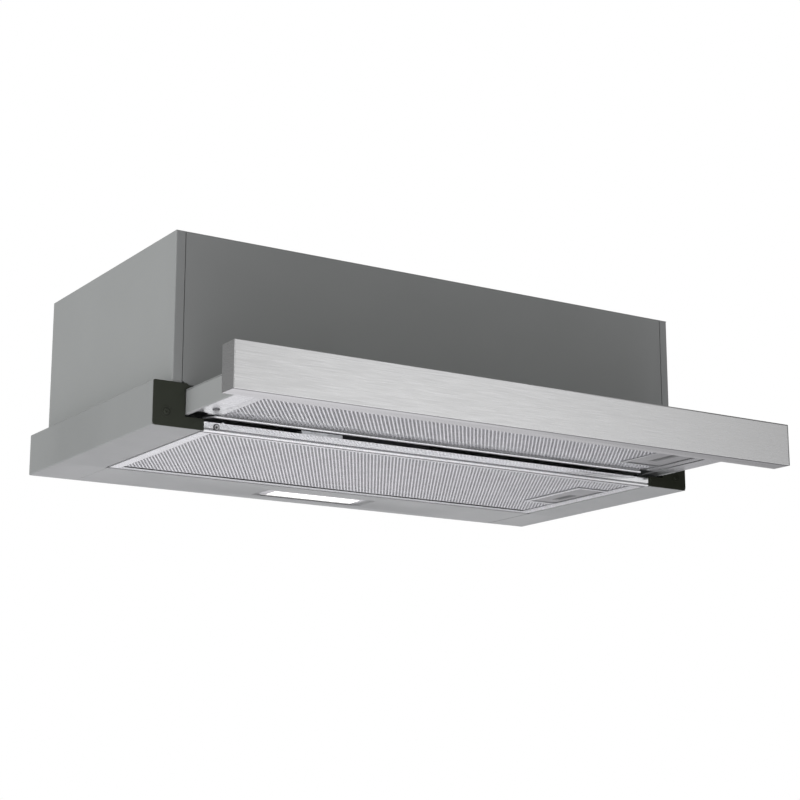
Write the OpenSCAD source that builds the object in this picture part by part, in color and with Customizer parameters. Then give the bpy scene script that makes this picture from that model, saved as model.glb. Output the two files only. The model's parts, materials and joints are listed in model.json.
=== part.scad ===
// Pull out range hood for a 600 mm wall cabinet: a sheet metal body with a
// twin-inlet blower, a wide shallow tray with a hinged grease filter, and a
// drawer with its own filter that slides out behind a brushed front strip.
// X runs left to right seen from the front, Y front to back, Z up.

/* [Tray and body] */
// Width of the tray and of the front strip
tray_w = 598; // [596:1:600]
// Depth of the tray and of the body
tray_d = 280; // [278:1:284]
// Height of the tray
tray_h = 40; // [40:0.5:41]
// Width of the upper body
body_w = 562; // [559:1:562]
// Height from the underside to the top plate's upper face
body_h = 177; // [177:1:182]
// Thickness of the sheet metal
sheet = 0.8; // [0.7:0.1:0.9]
// Width of the folded flanges that wrap onto the body's front
wrap = 9.4; // [8:0.2:10]

/* [Drawer and front strip] */
// Distance from the tray's front to the front strip's face, pulled out
reach = 150; // [149:1:152]
// Height of the front strip
strip_h = 40; // [39:0.5:40.5]
// Depth of the front strip
strip_d = 21; // [20:0.5:21]
// Half width over the drawer's side rails
rail_x = 267.8; // [267.4:0.2:268]
// Underside of the drawer's side rails
rail_z = 12.4; // [12.2:0.1:12.5]
// Height of the drawer's side rails
rail_h = 21.2; // [21:0.1:21.2]

/* [Filters] */
// Depth of the main filter, front to back
filter_d = 194.8; // [192:0.2:194.8]
// Thickness of the main filter
filter_t = 8; // [7.6:0.2:8.2]
// Depth of the drawer's filter, front to back
drawer_filter_d = 114.4; // [112:0.2:114.6]
// Travel of both filter latches
latch_travel = 3.5; // [3:0.5:3.5]

/* [Lamp] */
// Width of the glowing lens
lens_w = 116; // [100:1:120]
// Depth of the glowing lens
lens_d = 29; // [24:1:30]

/* [Blower and outlet] */
// Outside diameter of the outlet collar
collar_d = 119; // [117:0.5:119]
// Height of the outlet collar above the top plate
collar_h = 28; // [24:1:30]
// Outside diameter of the fan wheel
wheel_d = 108; // [104:1:110]
// Number of blades round the fan wheel
blades = 36; // [24:1:40]

/* [Controls] */
// Number of push buttons is five; this is the distance between them
button_pitch = 22; // [21:0.5:23]
// How far a button travels
button_travel = 2.5; // [2:0.5:2.5]

/* [Hidden] */
$fn = 48;
e = 0.01;
tx = tray_w / 2;
bx = body_w / 2;
// the tray's front face, with the origin under the middle of the pulled out hood
yf = (reach - tray_d) / 2;
// bottom plate opening
open_x = 250.2;
back_y = filter_d + 8.8;
// main filter
mf_x = 249.2; mf_y0 = 7.8; mf_y1 = mf_y0 + filter_d; mf_z0 = 0.4;
// pivots of both filters, on their left edges
pivot_r = 1.2; mf_px = -246.5; mf_pz = 4.4; df_px = -243.6; df_pz = 17.0;
// drawer filter
df_x = 246.4; df_y1 = -2.2; df_y0 = df_y1 - drawer_filter_d; df_z0 = 13.0;
// blower centre in Y and Z, and half its width
by = 140; bz = 105; bw = 65;
// outlet
oy = 151; or_out = collar_d / 2; or_in = or_out - 2.4;
// lamp
lamp_y = 242;
// controls
ctl_x = 185; ctl_z = 60;
steel = [0.60, 0.61, 0.60]; dark = [0.17, 0.17, 0.15]; alu = [0.80, 0.80, 0.82];
zinc = [0.62, 0.63, 0.65]; black = [0.08, 0.08, 0.08];

module at() { translate([0, yf, 0]) children(); }
// a block from its low corner to its high corner
module box(a, b) { translate(a) cube([b[0] - a[0], b[1] - a[1], b[2] - a[2]]); }
// mirrored copy on the right side
module right() { mirror([1, 0, 0]) children(); }
module both() { children(); right() children(); }
// a pan head screw with a cross recess, its head on the plane z = 0 and its shank down
module screw(head_r, head_h, r, l) {
  difference() {
    union() {
      cylinder(r = head_r, h = head_h * 0.55, $fn = 32);
      translate([0, 0, head_h * 0.55 - e]) cylinder(r1 = head_r, r2 = head_r * 0.72, h = head_h * 0.45 + e, $fn = 32);
      translate([0, 0, -l]) cylinder(r = r, h = l + e, $fn = 24);
    }
    for (a = [0, 90]) rotate([0, 0, a])
      translate([-head_r * 0.55, -head_r * 0.12, head_h * 0.35]) cube([head_r * 1.1, head_r * 0.24, head_h]);
  }
}

// ---- body -------------------------------------------------------------
module side_panel() {
  difference() {
    union() {
      box([-bx, 0, tray_h - sheet], [-bx + sheet, tray_d, body_h - sheet]);
      box([-bx, 0, tray_h - sheet], [-bx + wrap, sheet, body_h - sheet]);
      box([-bx, 0, tray_h - sheet], [-bx + 10, tray_d - sheet - 0.1, tray_h]);
      box([-bx, sheet + 0.2, body_h - 2 * sheet], [-bx + 12, tray_d - sheet - 0.1, body_h - sheet]);
    }
    for (y = [40, 140, 240]) translate([-bx + 6.5, y, body_h - 3]) cylinder(r = 1.6, h = 6, $fn = 24);
  }
}
module left_side_panel() { color(steel) at() side_panel(); }
module right_side_panel() { color(steel) at() right() side_panel(); }

module front_panel() {
  x = bx - wrap - 0.3;
  color(steel) at() difference() {
    union() {
      box([-x, 0, tray_h + sheet + 0.2], [x, sheet, body_h - sheet]);
      box([-bx + 12.3, 0, body_h - 2 * sheet], [bx - 12.3, 14, body_h - sheet]);
      both() box([-x, 0, tray_h + sheet + 0.2], [-x + sheet, 12, body_h - 2 * sheet - 0.2]);
      // lower edge, folded back above the drawer
      box([-bx + 11.6, 0, tray_h - 1.5], [bx - 11.6, sheet, tray_h + sheet + 0.4]);
      box([-bx + 12.4, 0, tray_h - 1.5], [bx - 12.4, 14, tray_h - 0.7]);
    }
    box([ctl_x - 59, -1, ctl_z - 9], [ctl_x + 59, 2, ctl_z + 9]);
  }
}

module rear_panel() {
  x = bx - sheet - 0.1;
  color(steel) at() union() {
    box([-x, tray_d - sheet, tray_h - sheet + 0.1], [x, tray_d, body_h - sheet]);
    both() box([-x, tray_d - 12, tray_h + sheet + 0.2], [-x + sheet, tray_d, body_h - 2 * sheet - 0.2]);
    box([-x + 16, tray_d - 14, body_h - 2 * sheet], [x - 16, tray_d, body_h - sheet]);
  }
}

module top_panel() {
  color(steel) at() difference() {
    box([-bx, 0, body_h - sheet], [bx, tray_d, body_h]);
    translate([0, oy, body_h - 3]) cylinder(r = or_in, h = 6, $fn = 96);
    // holes for the screws that hold the hood to the shelf above it
    for (x = [-210, 210], y = [50, 230]) translate([x, y, body_h - 3]) cylinder(r = 2.75, h = 6, $fn = 32);
    // cable gland
    translate([-150, 236, body_h - 3]) cylinder(r = 8.2, h = 6, $fn = 48);
    // screws of the collar and of the blower
    for (x = [-66, 66], y = [-65.5, 65.5]) translate([x, oy + y, body_h - 3]) cylinder(r = 1.6, h = 6, $fn = 24);
  }
}

// ---- tray -------------------------------------------------------------
module tray_rail() {
  union() {
    box([-tx, 0, 0], [-open_x, tray_d, sheet]);
    box([-tx, 0, 0], [-tx + sheet, tray_d, tray_h]);
    // upturned lip beside the filter
    box([-open_x - 2.2, 0, 0], [-open_x - 1.4, 200, 8.6]);
    // ledge beside the body, joggled down one sheet under the body's flange
    box([-tx, 0, tray_h - sheet], [-bx - 0.1, tray_d, tray_h]);
    box([-bx - 0.9, 0, tray_h - 2 * sheet], [-bx - 0.1, tray_d - sheet - 0.1, tray_h - sheet / 2]);
    box([-bx - 0.9, 0, tray_h - 2 * sheet], [-bx + 10, tray_d - sheet - 0.1, tray_h - sheet]);
  }
}
module tray_left_rail() { color(steel) at() tray_rail(); }
module tray_right_rail() { color(steel) at() right() tray_rail(); }

module tray_rear_rail() {
  color(steel) at() difference() {
    union() {
      box([-open_x + 0.3, back_y - 5.2, 0], [open_x - 0.3, tray_d, sheet]);
      box([-tx + sheet + 0.1, tray_d - sheet, sheet + e], [tx - sheet - 0.1, tray_d, tray_h - sheet]);
      box([-open_x + 0.3, tray_d - sheet, 0], [open_x - 0.3, tray_d, 3]);
      box([-open_x + 0.3, back_y + 0.4, 0], [open_x - 0.3, back_y + 1.2, 9]);
    }
    // slot behind the filter, and the lamp's cut-out
    box([-open_x - 1, back_y - 6, -1], [open_x + 1, back_y - 0.4, 2]);
    box([-lens_w / 2 - 7, lamp_y - lens_d / 2 - 3.5, -1], [lens_w / 2 + 7, lamp_y + lens_d / 2 + 3.5, 3]);
    // bearing of the main filter's rear pivot
    translate([mf_px, back_y - 2, mf_pz]) rotate([-90, 0, 0]) cylinder(r = pivot_r + 0.05, h = 6, $fn = 32);
  }
}

// the moulded end of a tray rail, notched for the drawer's rail
function corner(x, z, r, a0) = [for (i = [0:6]) [x + r * cos(a0 + 15 * i), z + r * sin(a0 + 15 * i)]];
module corner_cap() {
  x0 = tx - sheet - 0.1;
  nx = rail_x + 0.7; nz = rail_z + rail_h + sheet + 0.5; nb = rail_z - 2;
  difference() {
    union() {
      // face that covers the ends of the sheets, with rounded outer corners
      rotate([90, 0, 0]) linear_extrude(1.0) polygon(concat(
        [[-250.1, 0.15], [-250.1, nb], [-nx, nb], [-nx, nz], [-263.2, nz],
         [-263.2, nz + 1.7], [-267.6, tray_h - 0.15]],
        corner(-tx + 1.7, tray_h - 1.65, 1.5, 90), corner(-tx + 3.2, 3.15, 3.0, 180)));
      // plug inside the rail
      translate([0, 2.4, 0]) rotate([90, 0, 0]) linear_extrude(2.4 + e)
        polygon([[-x0, sheet + 0.1], [-open_x - 2.5, sheet + 0.1], [-open_x - 2.5, 8.8], [-250.1, 8.8], [-250.1, nb], [-nx, nb],
          [-nx, nz], [-263.2, nz], [-263.2, nz + 1.7], [-265, tray_h - 2 * sheet - 0.1], [-bx - 1, tray_h - 2 * sheet - 0.1],
          [-bx - 1, tray_h - sheet - 0.1], [-x0, tray_h - sheet - 0.1]]);
      // skirts
      box([-x0, 0, sheet + 0.1], [-x0 + 1.6, 11, tray_h - sheet - 0.1]);
      box([-x0, 0, sheet + 0.1], [-open_x - 2.5, 11, sheet + 1.7]);
      box([-x0, 0, tray_h - sheet - 1.7], [-bx - 1, 11, tray_h - sheet - 0.1]);
      box([-nx - 1.6, 0, nb], [-nx, 11, tray_h - 2 * sheet - 0.1]);
      box([-nx - 1.6, 0, nb - 1.6], [-250.1, 11, nb]);
    }
    translate([-286, -2, 12.8]) rotate([-90, 0, 0]) cylinder(r = 1.55, h = 6, $fn = 24);
  }
}
module left_corner_cap() { color(dark) at() corner_cap(); }
module right_corner_cap() { color(dark) at() right() corner_cap(); }
module corner_cap_screws() {
  color(black) at() both() translate([-286, -1, 12.8]) rotate([90, 0, 0]) screw(2.8, 1.0, 1.5, 9);
}

// aluminium bar across the front of the tray, ribbed along its face
module front_crossbar() {
  color(alu) at() difference() {
    union() {
      box([-249.8, 0, 0], [249.8, 7, 8.6]);
      // nib on the top edge
      box([-232.4, 0.4, 8.5], [-229.6, 2.6, 9.4]);
    }
    // hollow along the face, groove along the underside
    box([-251, -1, 1.75], [251, 0.7, 3.2]);
    box([-251, 2.0, -1], [251, 2.7, 0.5]);
    // hollow from behind
    box([-251, 1.6, 1.4], [251, 5.6, 7.4]);
    translate([-237.7, -1, 4.5]) rotate([-90, 0, 0]) cylinder(r = 1.55, h = 9, $fn = 24);
    // bearing of the main filter's front pivot
    translate([mf_px, 4, mf_pz]) rotate([-90, 0, 0]) cylinder(r = pivot_r + 0.05, h = 5, $fn = 32);
  }
}
module crossbar_screw() {
  color(zinc) at() translate([-237.7, 0, 4.5]) rotate([90, 0, 0]) screw(3.0, 1.1, 1.5, 6.8);
}
// grey block on the bar that steadies the drawer's back edge
module centre_glide() {
  color(zinc) at() difference() {
    box([-152, 1, 8.6], [-109, 34, 12.0]);
    box([-146, 7, 8], [-115, 28, 10.6]);
  }
}

// channel that the drawer's side rail runs in
module drawer_guide() {
  g = rail_x + 1.5;
  union() {
    box([-g - 1.2, 12, sheet], [-g, 272, tray_h - 2 * sheet - 0.1]);
    box([-g - 14, 12, sheet], [-g, 272, sheet + 1.2]);
    box([-g - 1.2, 12, rail_z - 2.0], [-259.5, 272, rail_z - 1.0]);
    box([-g - 1.2, 12, rail_z + rail_h + 1.2], [-256, 272, rail_z + rail_h + 2.2]);
  }
}
module left_drawer_guide() { color(zinc) at() drawer_guide(); }
module right_drawer_guide() { color(zinc) at() right() drawer_guide(); }
// low friction pads at the mouth of each guide
module guide_pads() {
  color("white") at() both() {
    box([-rail_x - 1.5, 14, rail_z + 1], [-rail_x - 0.3, 40, rail_z + rail_h - 1]);
    box([-rail_x + 0.5, 14, rail_z - 1.0], [-259.8, 40, rail_z - 0.3]);
  }
}

// ---- lamp -------------------------------------------------------------
module lamp_housing() {
  w = lens_w / 2 + 6.8; d = lens_d / 2 + 3.3;
  color("white") at() translate([0, lamp_y, 0]) difference() {
    union() {
      box([-w, -d, 0.1], [w, d, 16]);
      box([-w - 5, -d - 3, sheet], [w + 5, d + 3, sheet + 1.6]);
    }
    box([-w + 1.5, -d + 1.5, 3.4], [w - 1.5, d - 1.5, 14.5]);
    box([-lens_w / 2 - 0.2, -lens_d / 2 - 0.2, -1], [lens_w / 2 + 0.2, lens_d / 2 + 0.2, 5]);
    box([-w + 1.2, -d + 1.2, -1], [w - 1.2, d - 1.2, 1.6]);
  }
}
module lamp_lens() {
  color([1, 1, 0.96]) at() translate([0, lamp_y, 0])
    union() {
      box([-lens_w / 2, -lens_d / 2, 1.4], [lens_w / 2, lens_d / 2, 3.4]);
      box([-lens_w / 2 - 3, -lens_d / 2 - 1, 3.4], [lens_w / 2 + 3, lens_d / 2 + 1, 4.6]);
    }
}
module lamp_led_board() {
  color([0.1, 0.45, 0.25]) at() translate([0, lamp_y, 0]) union() {
    box([-56, -11, 12.7], [56, 11, 14.3]);
    for (x = [-45:18:45]) box([x - 2.5, -2.5, 11.4], [x + 2.5, 2.5, 12.7]);
  }
}

// ---- blower -----------------------------------------------------------
// points of the spiral wall in Y and Z: from the tongue round the front, the bottom and the back
function spiral(r0, r1, n) = [for (i = [0:n]) let (a = 135 + 225 * i / n, r = r0 + (r1 - r0) * i / n)
  [by + r * cos(a), bz + r * sin(a)]];
module scroll_2d(g) {
  polygon(concat(
    [[oy - 60 - g, body_h - 3.8]], spiral(59 + g, 70 + g, 36), [[oy + 60 + g, body_h - 20], [oy + 60 + g, body_h - 3.8]]));
}
module along_x(x0, x1) { translate([x0, 0, 0]) rotate([90, 0, 90]) linear_extrude(x1 - x0) children(); }

module blower_scroll() {
  color([0.25, 0.26, 0.27]) at() difference() {
    union() {
      along_x(-bw, bw) scroll_2d(1.8);
      box([-74, oy - 70, body_h - 3.8], [74, oy + 70, body_h - sheet]);
    }
    along_x(-bw - 1, bw + 1) scroll_2d(0);
    translate([0, oy, body_h - 8]) cylinder(r = or_in, h = 10, $fn = 96);
    for (x = [-66, 66], y = [-65.5, 65.5]) translate([x, oy + y, body_h - 5]) cylinder(r = 1.6, h = 6, $fn = 24);
  }
}
module blower_cover() {
  color([0.25, 0.26, 0.27]) at() difference() {
    union() {
      along_x(-bw - 1.8, -bw) scroll_2d(1.8);
      translate([-bw - 3.4, by, bz]) rotate([0, 90, 0]) cylinder(r = 55, h = 3, $fn = 96);
    }
    translate([-bw - 5, by, bz]) rotate([0, 90, 0]) cylinder(r = 50.2, h = 8, $fn = 96);
  }
}
module blower_left_cover() { blower_cover(); }
module blower_right_cover() { right() blower_cover(); }
// bell mouths in the two inlets
module inlet_rings() {
  color([0.30, 0.31, 0.32]) at() both() translate([-bw - 5, by, bz]) rotate([0, 90, 0]) rotate_extrude($fn = 96)
    polygon([[53.5, 0], [50, 0.6], [47.5, 2.4], [46.6, 5], [46.6, 7.4], [48, 7.4], [48.4, 4.6], [50, 3], [50, 1.6], [53.5, 1.5]]);
}
module blower_screws() {
  color(zinc) at() for (x = [-66, 66], y = [-65.5, 65.5])
    translate([x, oy + y, body_h - 3.8]) rotate([180, 0, 0]) screw(3.2, 1.6, 1.5, 3.7);
}
module motor() {
  color([0.45, 0.46, 0.48]) at() translate([8, by, bz]) rotate([0, 90, 0]) difference() {
    union() {
      cylinder(r = 34, h = 44, $fn = 64);
      translate([0, 0, -4]) cylinder(r = 11, h = 4 + e, $fn = 48);
      translate([0, 0, 44 - e]) cylinder(r = 11, h = 6, $fn = 48);
    }
    translate([0, 0, -6]) cylinder(r = 4.05, h = 60, $fn = 48);
  }
}
// ring round the motor with three arms to the right cover
module motor_bracket() {
  color(zinc) at() translate([36, by, bz]) rotate([0, 90, 0]) difference() {
    union() {
      translate([0, 0, 12]) cylinder(r = 36, h = 12, $fn = 64);
      for (a = [90, 210, 330]) rotate([0, 0, a]) {
        translate([34.5, -4, 22]) cube([11, 8, 2]);
        translate([43.4, -4, 22]) cube([2, 8, 14]);
        translate([43.4, -4, 34]) cube([12, 8, 2]);
      }
    }
    translate([0, 0, 5]) cylinder(r = 34.05, h = 30, $fn = 64);
  }
}
module fan_wheel() {
  r = wheel_d / 2;
  color([0.35, 0.36, 0.38]) at() translate([0, by, bz]) rotate([0, 90, 0]) difference() {
    union() {
      translate([0, 0, -1]) cylinder(r = r, h = 2, $fn = 96);
      translate([0, 0, -12]) cylinder(r = 10, h = 14, $fn = 48);
      for (z = [-55, 52.5]) translate([0, 0, z]) difference() {
        cylinder(r = r, h = 2.5, $fn = 96);
        translate([0, 0, -1]) cylinder(r = r - 7, h = 5, $fn = 96);
      }
      for (i = [0:blades - 1]) rotate([0, 0, i * 360 / blades])
        translate([r - 4.4, 0, 0]) rotate([0, 0, 40]) translate([-3.6, -0.5, -54]) cube([7, 1, 108]);
    }
    translate([0, 0, -13]) cylinder(r = 4.02, h = 20, $fn = 48);
  }
}
module fan_shaft() {
  color(zinc) at() translate([-11, by, bz]) rotate([0, 90, 0]) cylinder(r = 4.0, h = 72, $fn = 48);
}

// ---- outlet -----------------------------------------------------------
module outlet_collar() {
  color(dark) at() translate([0, oy, body_h]) difference() {
    union() {
      box([-72, -69, 0], [72, 69, 2.2]);
      cylinder(r = or_out, h = collar_h, $fn = 96);
      // ears for the flap pins
      both() translate([0, 0, 0]) box([-7, -or_in - 1, 8], [-1, -or_in + 3, 15]);
      both() translate([0, 0, 0]) box([-7, or_in - 3, 8], [-1, or_in + 1, 15]);
      both() box([-or_in - 1, -6, 7.4], [-or_in + 1.6, 6, 9.6]);
    }
    difference() {
      translate([0, 0, -1]) cylinder(r = or_in, h = collar_h + 2, $fn = 96);
      both() box([-7, -or_in - 1, 8], [-1, -or_in + 3, 15]);
      both() box([-7, or_in - 3, 8], [-1, or_in + 1, 15]);
      both() box([-or_in - 1, -6, 7.4], [-or_in + 1.6, 6, 9.6]);
    }
    both() translate([-4, -or_in - 1, 12]) rotate([-90, 0, 0]) cylinder(r = 1.0, h = 2 * or_in + 2, $fn = 24);
    for (x = [-66, 66], y = [-65.5, 65.5]) translate([x, y, -1]) cylinder(r = 1.6, h = 6, $fn = 24);
  }
}
module collar_screws() {
  color(zinc) at() for (x = [-66, 66], y = [-65.5, 65.5])
    translate([x, oy + y, body_h + 2.2]) screw(3.0, 1.5, 1.45, 2.2);
}
module flap_pins() {
  color(zinc) at() both() translate([-4, oy - or_in + 0.2, body_h + 12]) rotate([-90, 0, 0])
    cylinder(r = 1.0, h = 2 * or_in - 0.4, $fn = 24);
}
// half disc with three knuckles on its pin
module flap() {
  color([0.20, 0.20, 0.20]) at() translate([0, oy, body_h]) difference() {
    union() {
      intersection() {
        translate([0, 0, 10.2]) cylinder(r = or_in - 1.0, h = 1.2, $fn = 96);
        box([-70, -or_in + 3.6, 9], [-4.0, or_in - 3.6, 14]);
      }
      for (y = [-40, 0, 40]) translate([-4, y - 7, 12]) rotate([-90, 0, 0]) cylinder(r = 1.8, h = 14, $fn = 32);
    }
    translate([-4, -or_in, 12]) rotate([-90, 0, 0]) cylinder(r = 1.05, h = 2 * or_in, $fn = 24);
  }
}
module left_flap() { flap(); }
module right_flap() { right() flap(); }

// ---- electrics --------------------------------------------------------
module terminal_box() {
  color([0.88, 0.88, 0.86]) at() difference() {
    box([-185, 212, body_h - 34], [-115, 262, body_h - sheet]);
    box([-183, 214, body_h - 35], [-117, 260, body_h - sheet - 2]);
    translate([-150, 236, body_h - 5]) cylinder(r = 8.2, h = 8, $fn = 48);
  }
}
module terminal_box_lid() {
  color([0.85, 0.85, 0.83]) at() union() {
    box([-185, 212, body_h - 36], [-115, 262, body_h - 34]);
    box([-182.7, 214.3, body_h - 34], [-117.3, 259.7, body_h - 32]);
  }
}
module cable_gland() {
  color(black) at() translate([-150, 236, body_h]) difference() {
    union() {
      translate([0, 0, -9]) cylinder(r = 8.0, h = 12, $fn = 48);
      cylinder(r = 12, h = 4, $fn = 6);
      translate([0, 0, 4]) cylinder(r = 9.5, h = 8, $fn = 48);
      translate([0, 0, -8]) cylinder(r = 11.5, h = 4, $fn = 6);
    }
    translate([0, 0, -10]) cylinder(r = 4.0, h = 24, $fn = 48);
  }
}
module capacitor() {
  color([0.85, 0.85, 0.84]) at() union() {
    translate([150, 246, 92]) cylinder(r = 15, h = 58, $fn = 48);
    translate([150, 246, 88]) cylinder(r = 4, h = 4.1, $fn = 32);
    box([132, 260, 112], [168, 262, 128]);
    difference() {
      union() {
        translate([150, 246, 114]) cylinder(r = 16.6, h = 12, $fn = 48);
        box([144, 260, 114], [156, tray_d - sheet, 126]);
      }
      translate([150, 246, 113]) cylinder(r = 15.1, h = 14, $fn = 48);
    }
  }
}

// strip of push buttons in the front panel
module control_housing() {
  color(black) at() translate([ctl_x, 0, ctl_z]) difference() {
    union() {
      box([-62, -1.6, -11.5], [62, 0, 11.5]);
      box([-58.6, -1.6, -8.6], [58.6, 22, 8.6]);
    }
    box([-57, 1.2, -7.2], [57, 23, 7.2]);
    for (i = [-2:2]) box([i * button_pitch - 8, -3, -6], [i * button_pitch + 8, 3, 6]);
  }
}
module control_board() {
  color([0.1, 0.4, 0.22]) at() translate([ctl_x, 0, ctl_z]) union() {
    box([-56.5, 14, -6.9], [56.5, 15.6, 6.9]);
    for (i = [-2:2]) box([i * button_pitch - 3, 9.0, -3], [i * button_pitch + 3, 14, 3]);
    box([-50, 15.6, -5], [-30, 21, 5]);
  }
}
module button(i) {
  color([0.75, 0.75, 0.74]) at() translate([ctl_x + i * button_pitch, 0, ctl_z]) union() {
    box([-7.7, -5.0, -5.7], [7.7, 3.4, 5.7]);
    box([-9.5, 1.6, -6.6], [9.5, 3.4, 6.6]);
    translate([0, 3.3, 0]) rotate([-90, 0, 0]) cylinder(r = 1.8, h = 2.8, $fn = 32);
  }
}
module light_button() { button(-2); }
module off_button() { button(-1); }
module speed_1_button() { button(0); }
module speed_2_button() { button(1); }
module speed_3_button() { button(2); }

// ---- filters ----------------------------------------------------------
// folded border with a pocket for the latch on the right
// h is the whole size [x, y0, y1], b the border, bf its front side, p the pocket [x0, x1, y0, y1], w the window in its face
module filter_frame(h, b, bf, br, z, t, p, w, tongue) {
  difference() {
    union() {
      difference() {
        box([-h[0], h[1], z], [h[0], h[2], z + t]);
        box([-h[0] + b, h[1] + bf, z - 1], [h[0] - b, h[2] - br, z + t + 1]);
        // the border is a folded channel, open towards the mesh
        box([-h[0] + 0.8, h[1] + 0.8, z + 0.8], [h[0] - 0.8, h[2] - 0.8, z + t - 0.8]);
      }
      difference() {
        box([p[0] - 0.8, p[2] - 0.8, z + 0.2], [h[0] - 0.5, p[3] + 0.8, z + t - 0.3]);
        box([p[0], p[2], z + 1.0], [h[0] - 0.9, p[3], z + t - 1.1]);
      }
    }
    box([w[0], w[2], z - 1], [w[1], w[3], z + 2]);
    box([h[0] - 3, tongue[0] - 0.6, z + 0.9], [h[0] + 3, tongue[1] + 0.6, z + 3.0]);
  }
}
module latch(h, z, p, slot, tongue) {
  difference() {
    union() {
      box([p[0] + latch_travel + 0.3, p[2] + 0.4, z + 1.3], [h - 2.2, p[3] - 0.4, z + 2.5]);
      box([h - 4, tongue[0], z + 1.3], [h + 0.6, tongue[1], z + 2.5]);
      // lip round the finger slot
      box([slot[0] - 1.2, slot[2] - 1.2, z + 1.3], [slot[1] + 1.2, slot[3] + 1.2, z + 5.0]);
    }
    box([slot[0], slot[2], z - 1], [slot[1], slot[3], z + 9]);
  }
}
mf_p = [201, 238, 51.5, 139.5];
mf_w = [204, 236.8, 52.6, 138.4];
mf_t = [86, 106];
// stub pins at both ends of a filter's left edge
module pivots(x, z, y0, y1, l) {
  translate([x, y0 - l, z]) rotate([-90, 0, 0]) cylinder(r = pivot_r, h = l + 0.6, $fn = 32);
  translate([x, y1 - 0.6, z]) rotate([-90, 0, 0]) cylinder(r = pivot_r, h = l + 0.6, $fn = 32);
}
module main_filter_frame() {
  color(alu) at() union() {
    filter_frame([mf_x, mf_y0, mf_y1], 11.6, 5.5, 11.6, mf_z0, filter_t, mf_p, mf_w, mf_t);
    pivots(mf_px, mf_pz, mf_y0, mf_y1, 2.6);
  }
}
// perforated sheet under the pack, and the one above it, both notched round the latch pocket
module mesh_sheet(h, b, z0, z1, p) {
  o = min(9, b - 1);
  difference() {
    box([-h[0] + b - o, h[1] + b - o, z0], [h[0] - b + o, h[2] - b + o, z1]);
    box([p[0] - 1.1, p[2] - 1.1, z0 - 1], [h[0] + 1, p[3] + 1.1, z1 + 1]);
  }
}
module main_filter_mesh() {
  color([0.72, 0.72, 0.75]) at() mesh_sheet([mf_x, mf_y0, mf_y1], 11.6, mf_z0 + 1.0, mf_z0 + 2.2, mf_p);
}
module main_filter_back_mesh() {
  color([0.6, 0.6, 0.62]) at() mesh_sheet([mf_x, mf_y0, mf_y1], 11.6, mf_z0 + filter_t - 2.2, mf_z0 + filter_t - 1.0, mf_p);
}
module main_filter_latch() { color([0.65, 0.65, 0.66]) at() latch(mf_x, mf_z0, mf_p, [221, 229.5, 91, 122], mf_t); }

df_t0 = 7.2;
df_p = [190, 237.4, -92.6, -31.4];
df_w = [193, 236.6, -91.5, -32.5];
df_t = [-70, -54];
module drawer_filter_frame() {
  color(alu) at() union() {
    difference() {
      filter_frame([df_x, df_y0, df_y1], 9.4, 9.4, 4.5, df_z0, df_t0, df_p, df_w, df_t);
      // the border's underside stops short of the rear edge, where the mesh folds down
      box([-df_x - 1, df_y1 - 11, df_z0 - 1], [df_x + 1, df_y1 + 1, df_z0 + 2.6]);
    }
    pivots(df_px, df_pz, df_y0, df_y1, 1.9);
  }
}
module drawer_filter_mesh() {
  color([0.72, 0.72, 0.75]) at() mesh_sheet([df_x, df_y0, df_y1], 9.4, df_z0 + 1.0, df_z0 + 2.2, df_p);
}
module drawer_filter_latch() { color([0.65, 0.65, 0.66]) at() latch(df_x, df_z0, df_p, [210.5, 219.5, -86, -46], df_t); }

// ---- drawer -----------------------------------------------------------
// brushed front strip, folded at the top, the bottom and both ends
module fascia() {
  z0 = 2; z1 = z0 + strip_h; y0 = -reach; y1 = -reach + strip_d;
  color([0.72, 0.72, 0.72]) at() difference() {
    box([-tx, y0, z0], [tx, y1, z1]);
    box([-tx + sheet, y0 + sheet, z0 + sheet], [tx - sheet, y1 + 1, z1 - sheet]);
  }
}
// plate that closes the front strip's back and carries the rails
module fascia_support() {
  z0 = 2 + sheet + 0.1; z1 = 2 + strip_h - sheet - 0.1; y1 = -reach + strip_d;
  color(steel) at() difference() {
    union() {
      box([-tx + sheet + 0.1, y1 - 1.0, z0], [tx - sheet - 0.1, y1, z1]);
      box([-tx + sheet + 0.1, y1 - 12, z0], [tx - sheet - 0.1, y1, z0 + 0.8]);
      box([-tx + sheet + 0.1, y1 - 12, z1 - 0.8], [tx - sheet - 0.1, y1, z1]);
      // shelf in front of the filter
      box([-rail_x + 1.2, y1 - e, rail_z + 0.2], [rail_x - 1.2, df_y0 - 0.6, rail_z + 1.0]);
      // ear for the filter's front pivot
      box([-247, df_y0 - 1.6, rail_z + 0.8], [-240.4, df_y0 - 0.8, df_pz + 3]);
    }
    translate([df_px, df_y0 - 4, df_pz]) rotate([-90, 0, 0]) cylinder(r = pivot_r + 0.05, h = 5, $fn = 32);
    for (x = [-257, 257], z = [20, 27]) translate([x, y1 - 3, z]) rotate([-90, 0, 0]) cylinder(r = 1.6, h = 6, $fn = 24);
  }
}
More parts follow.
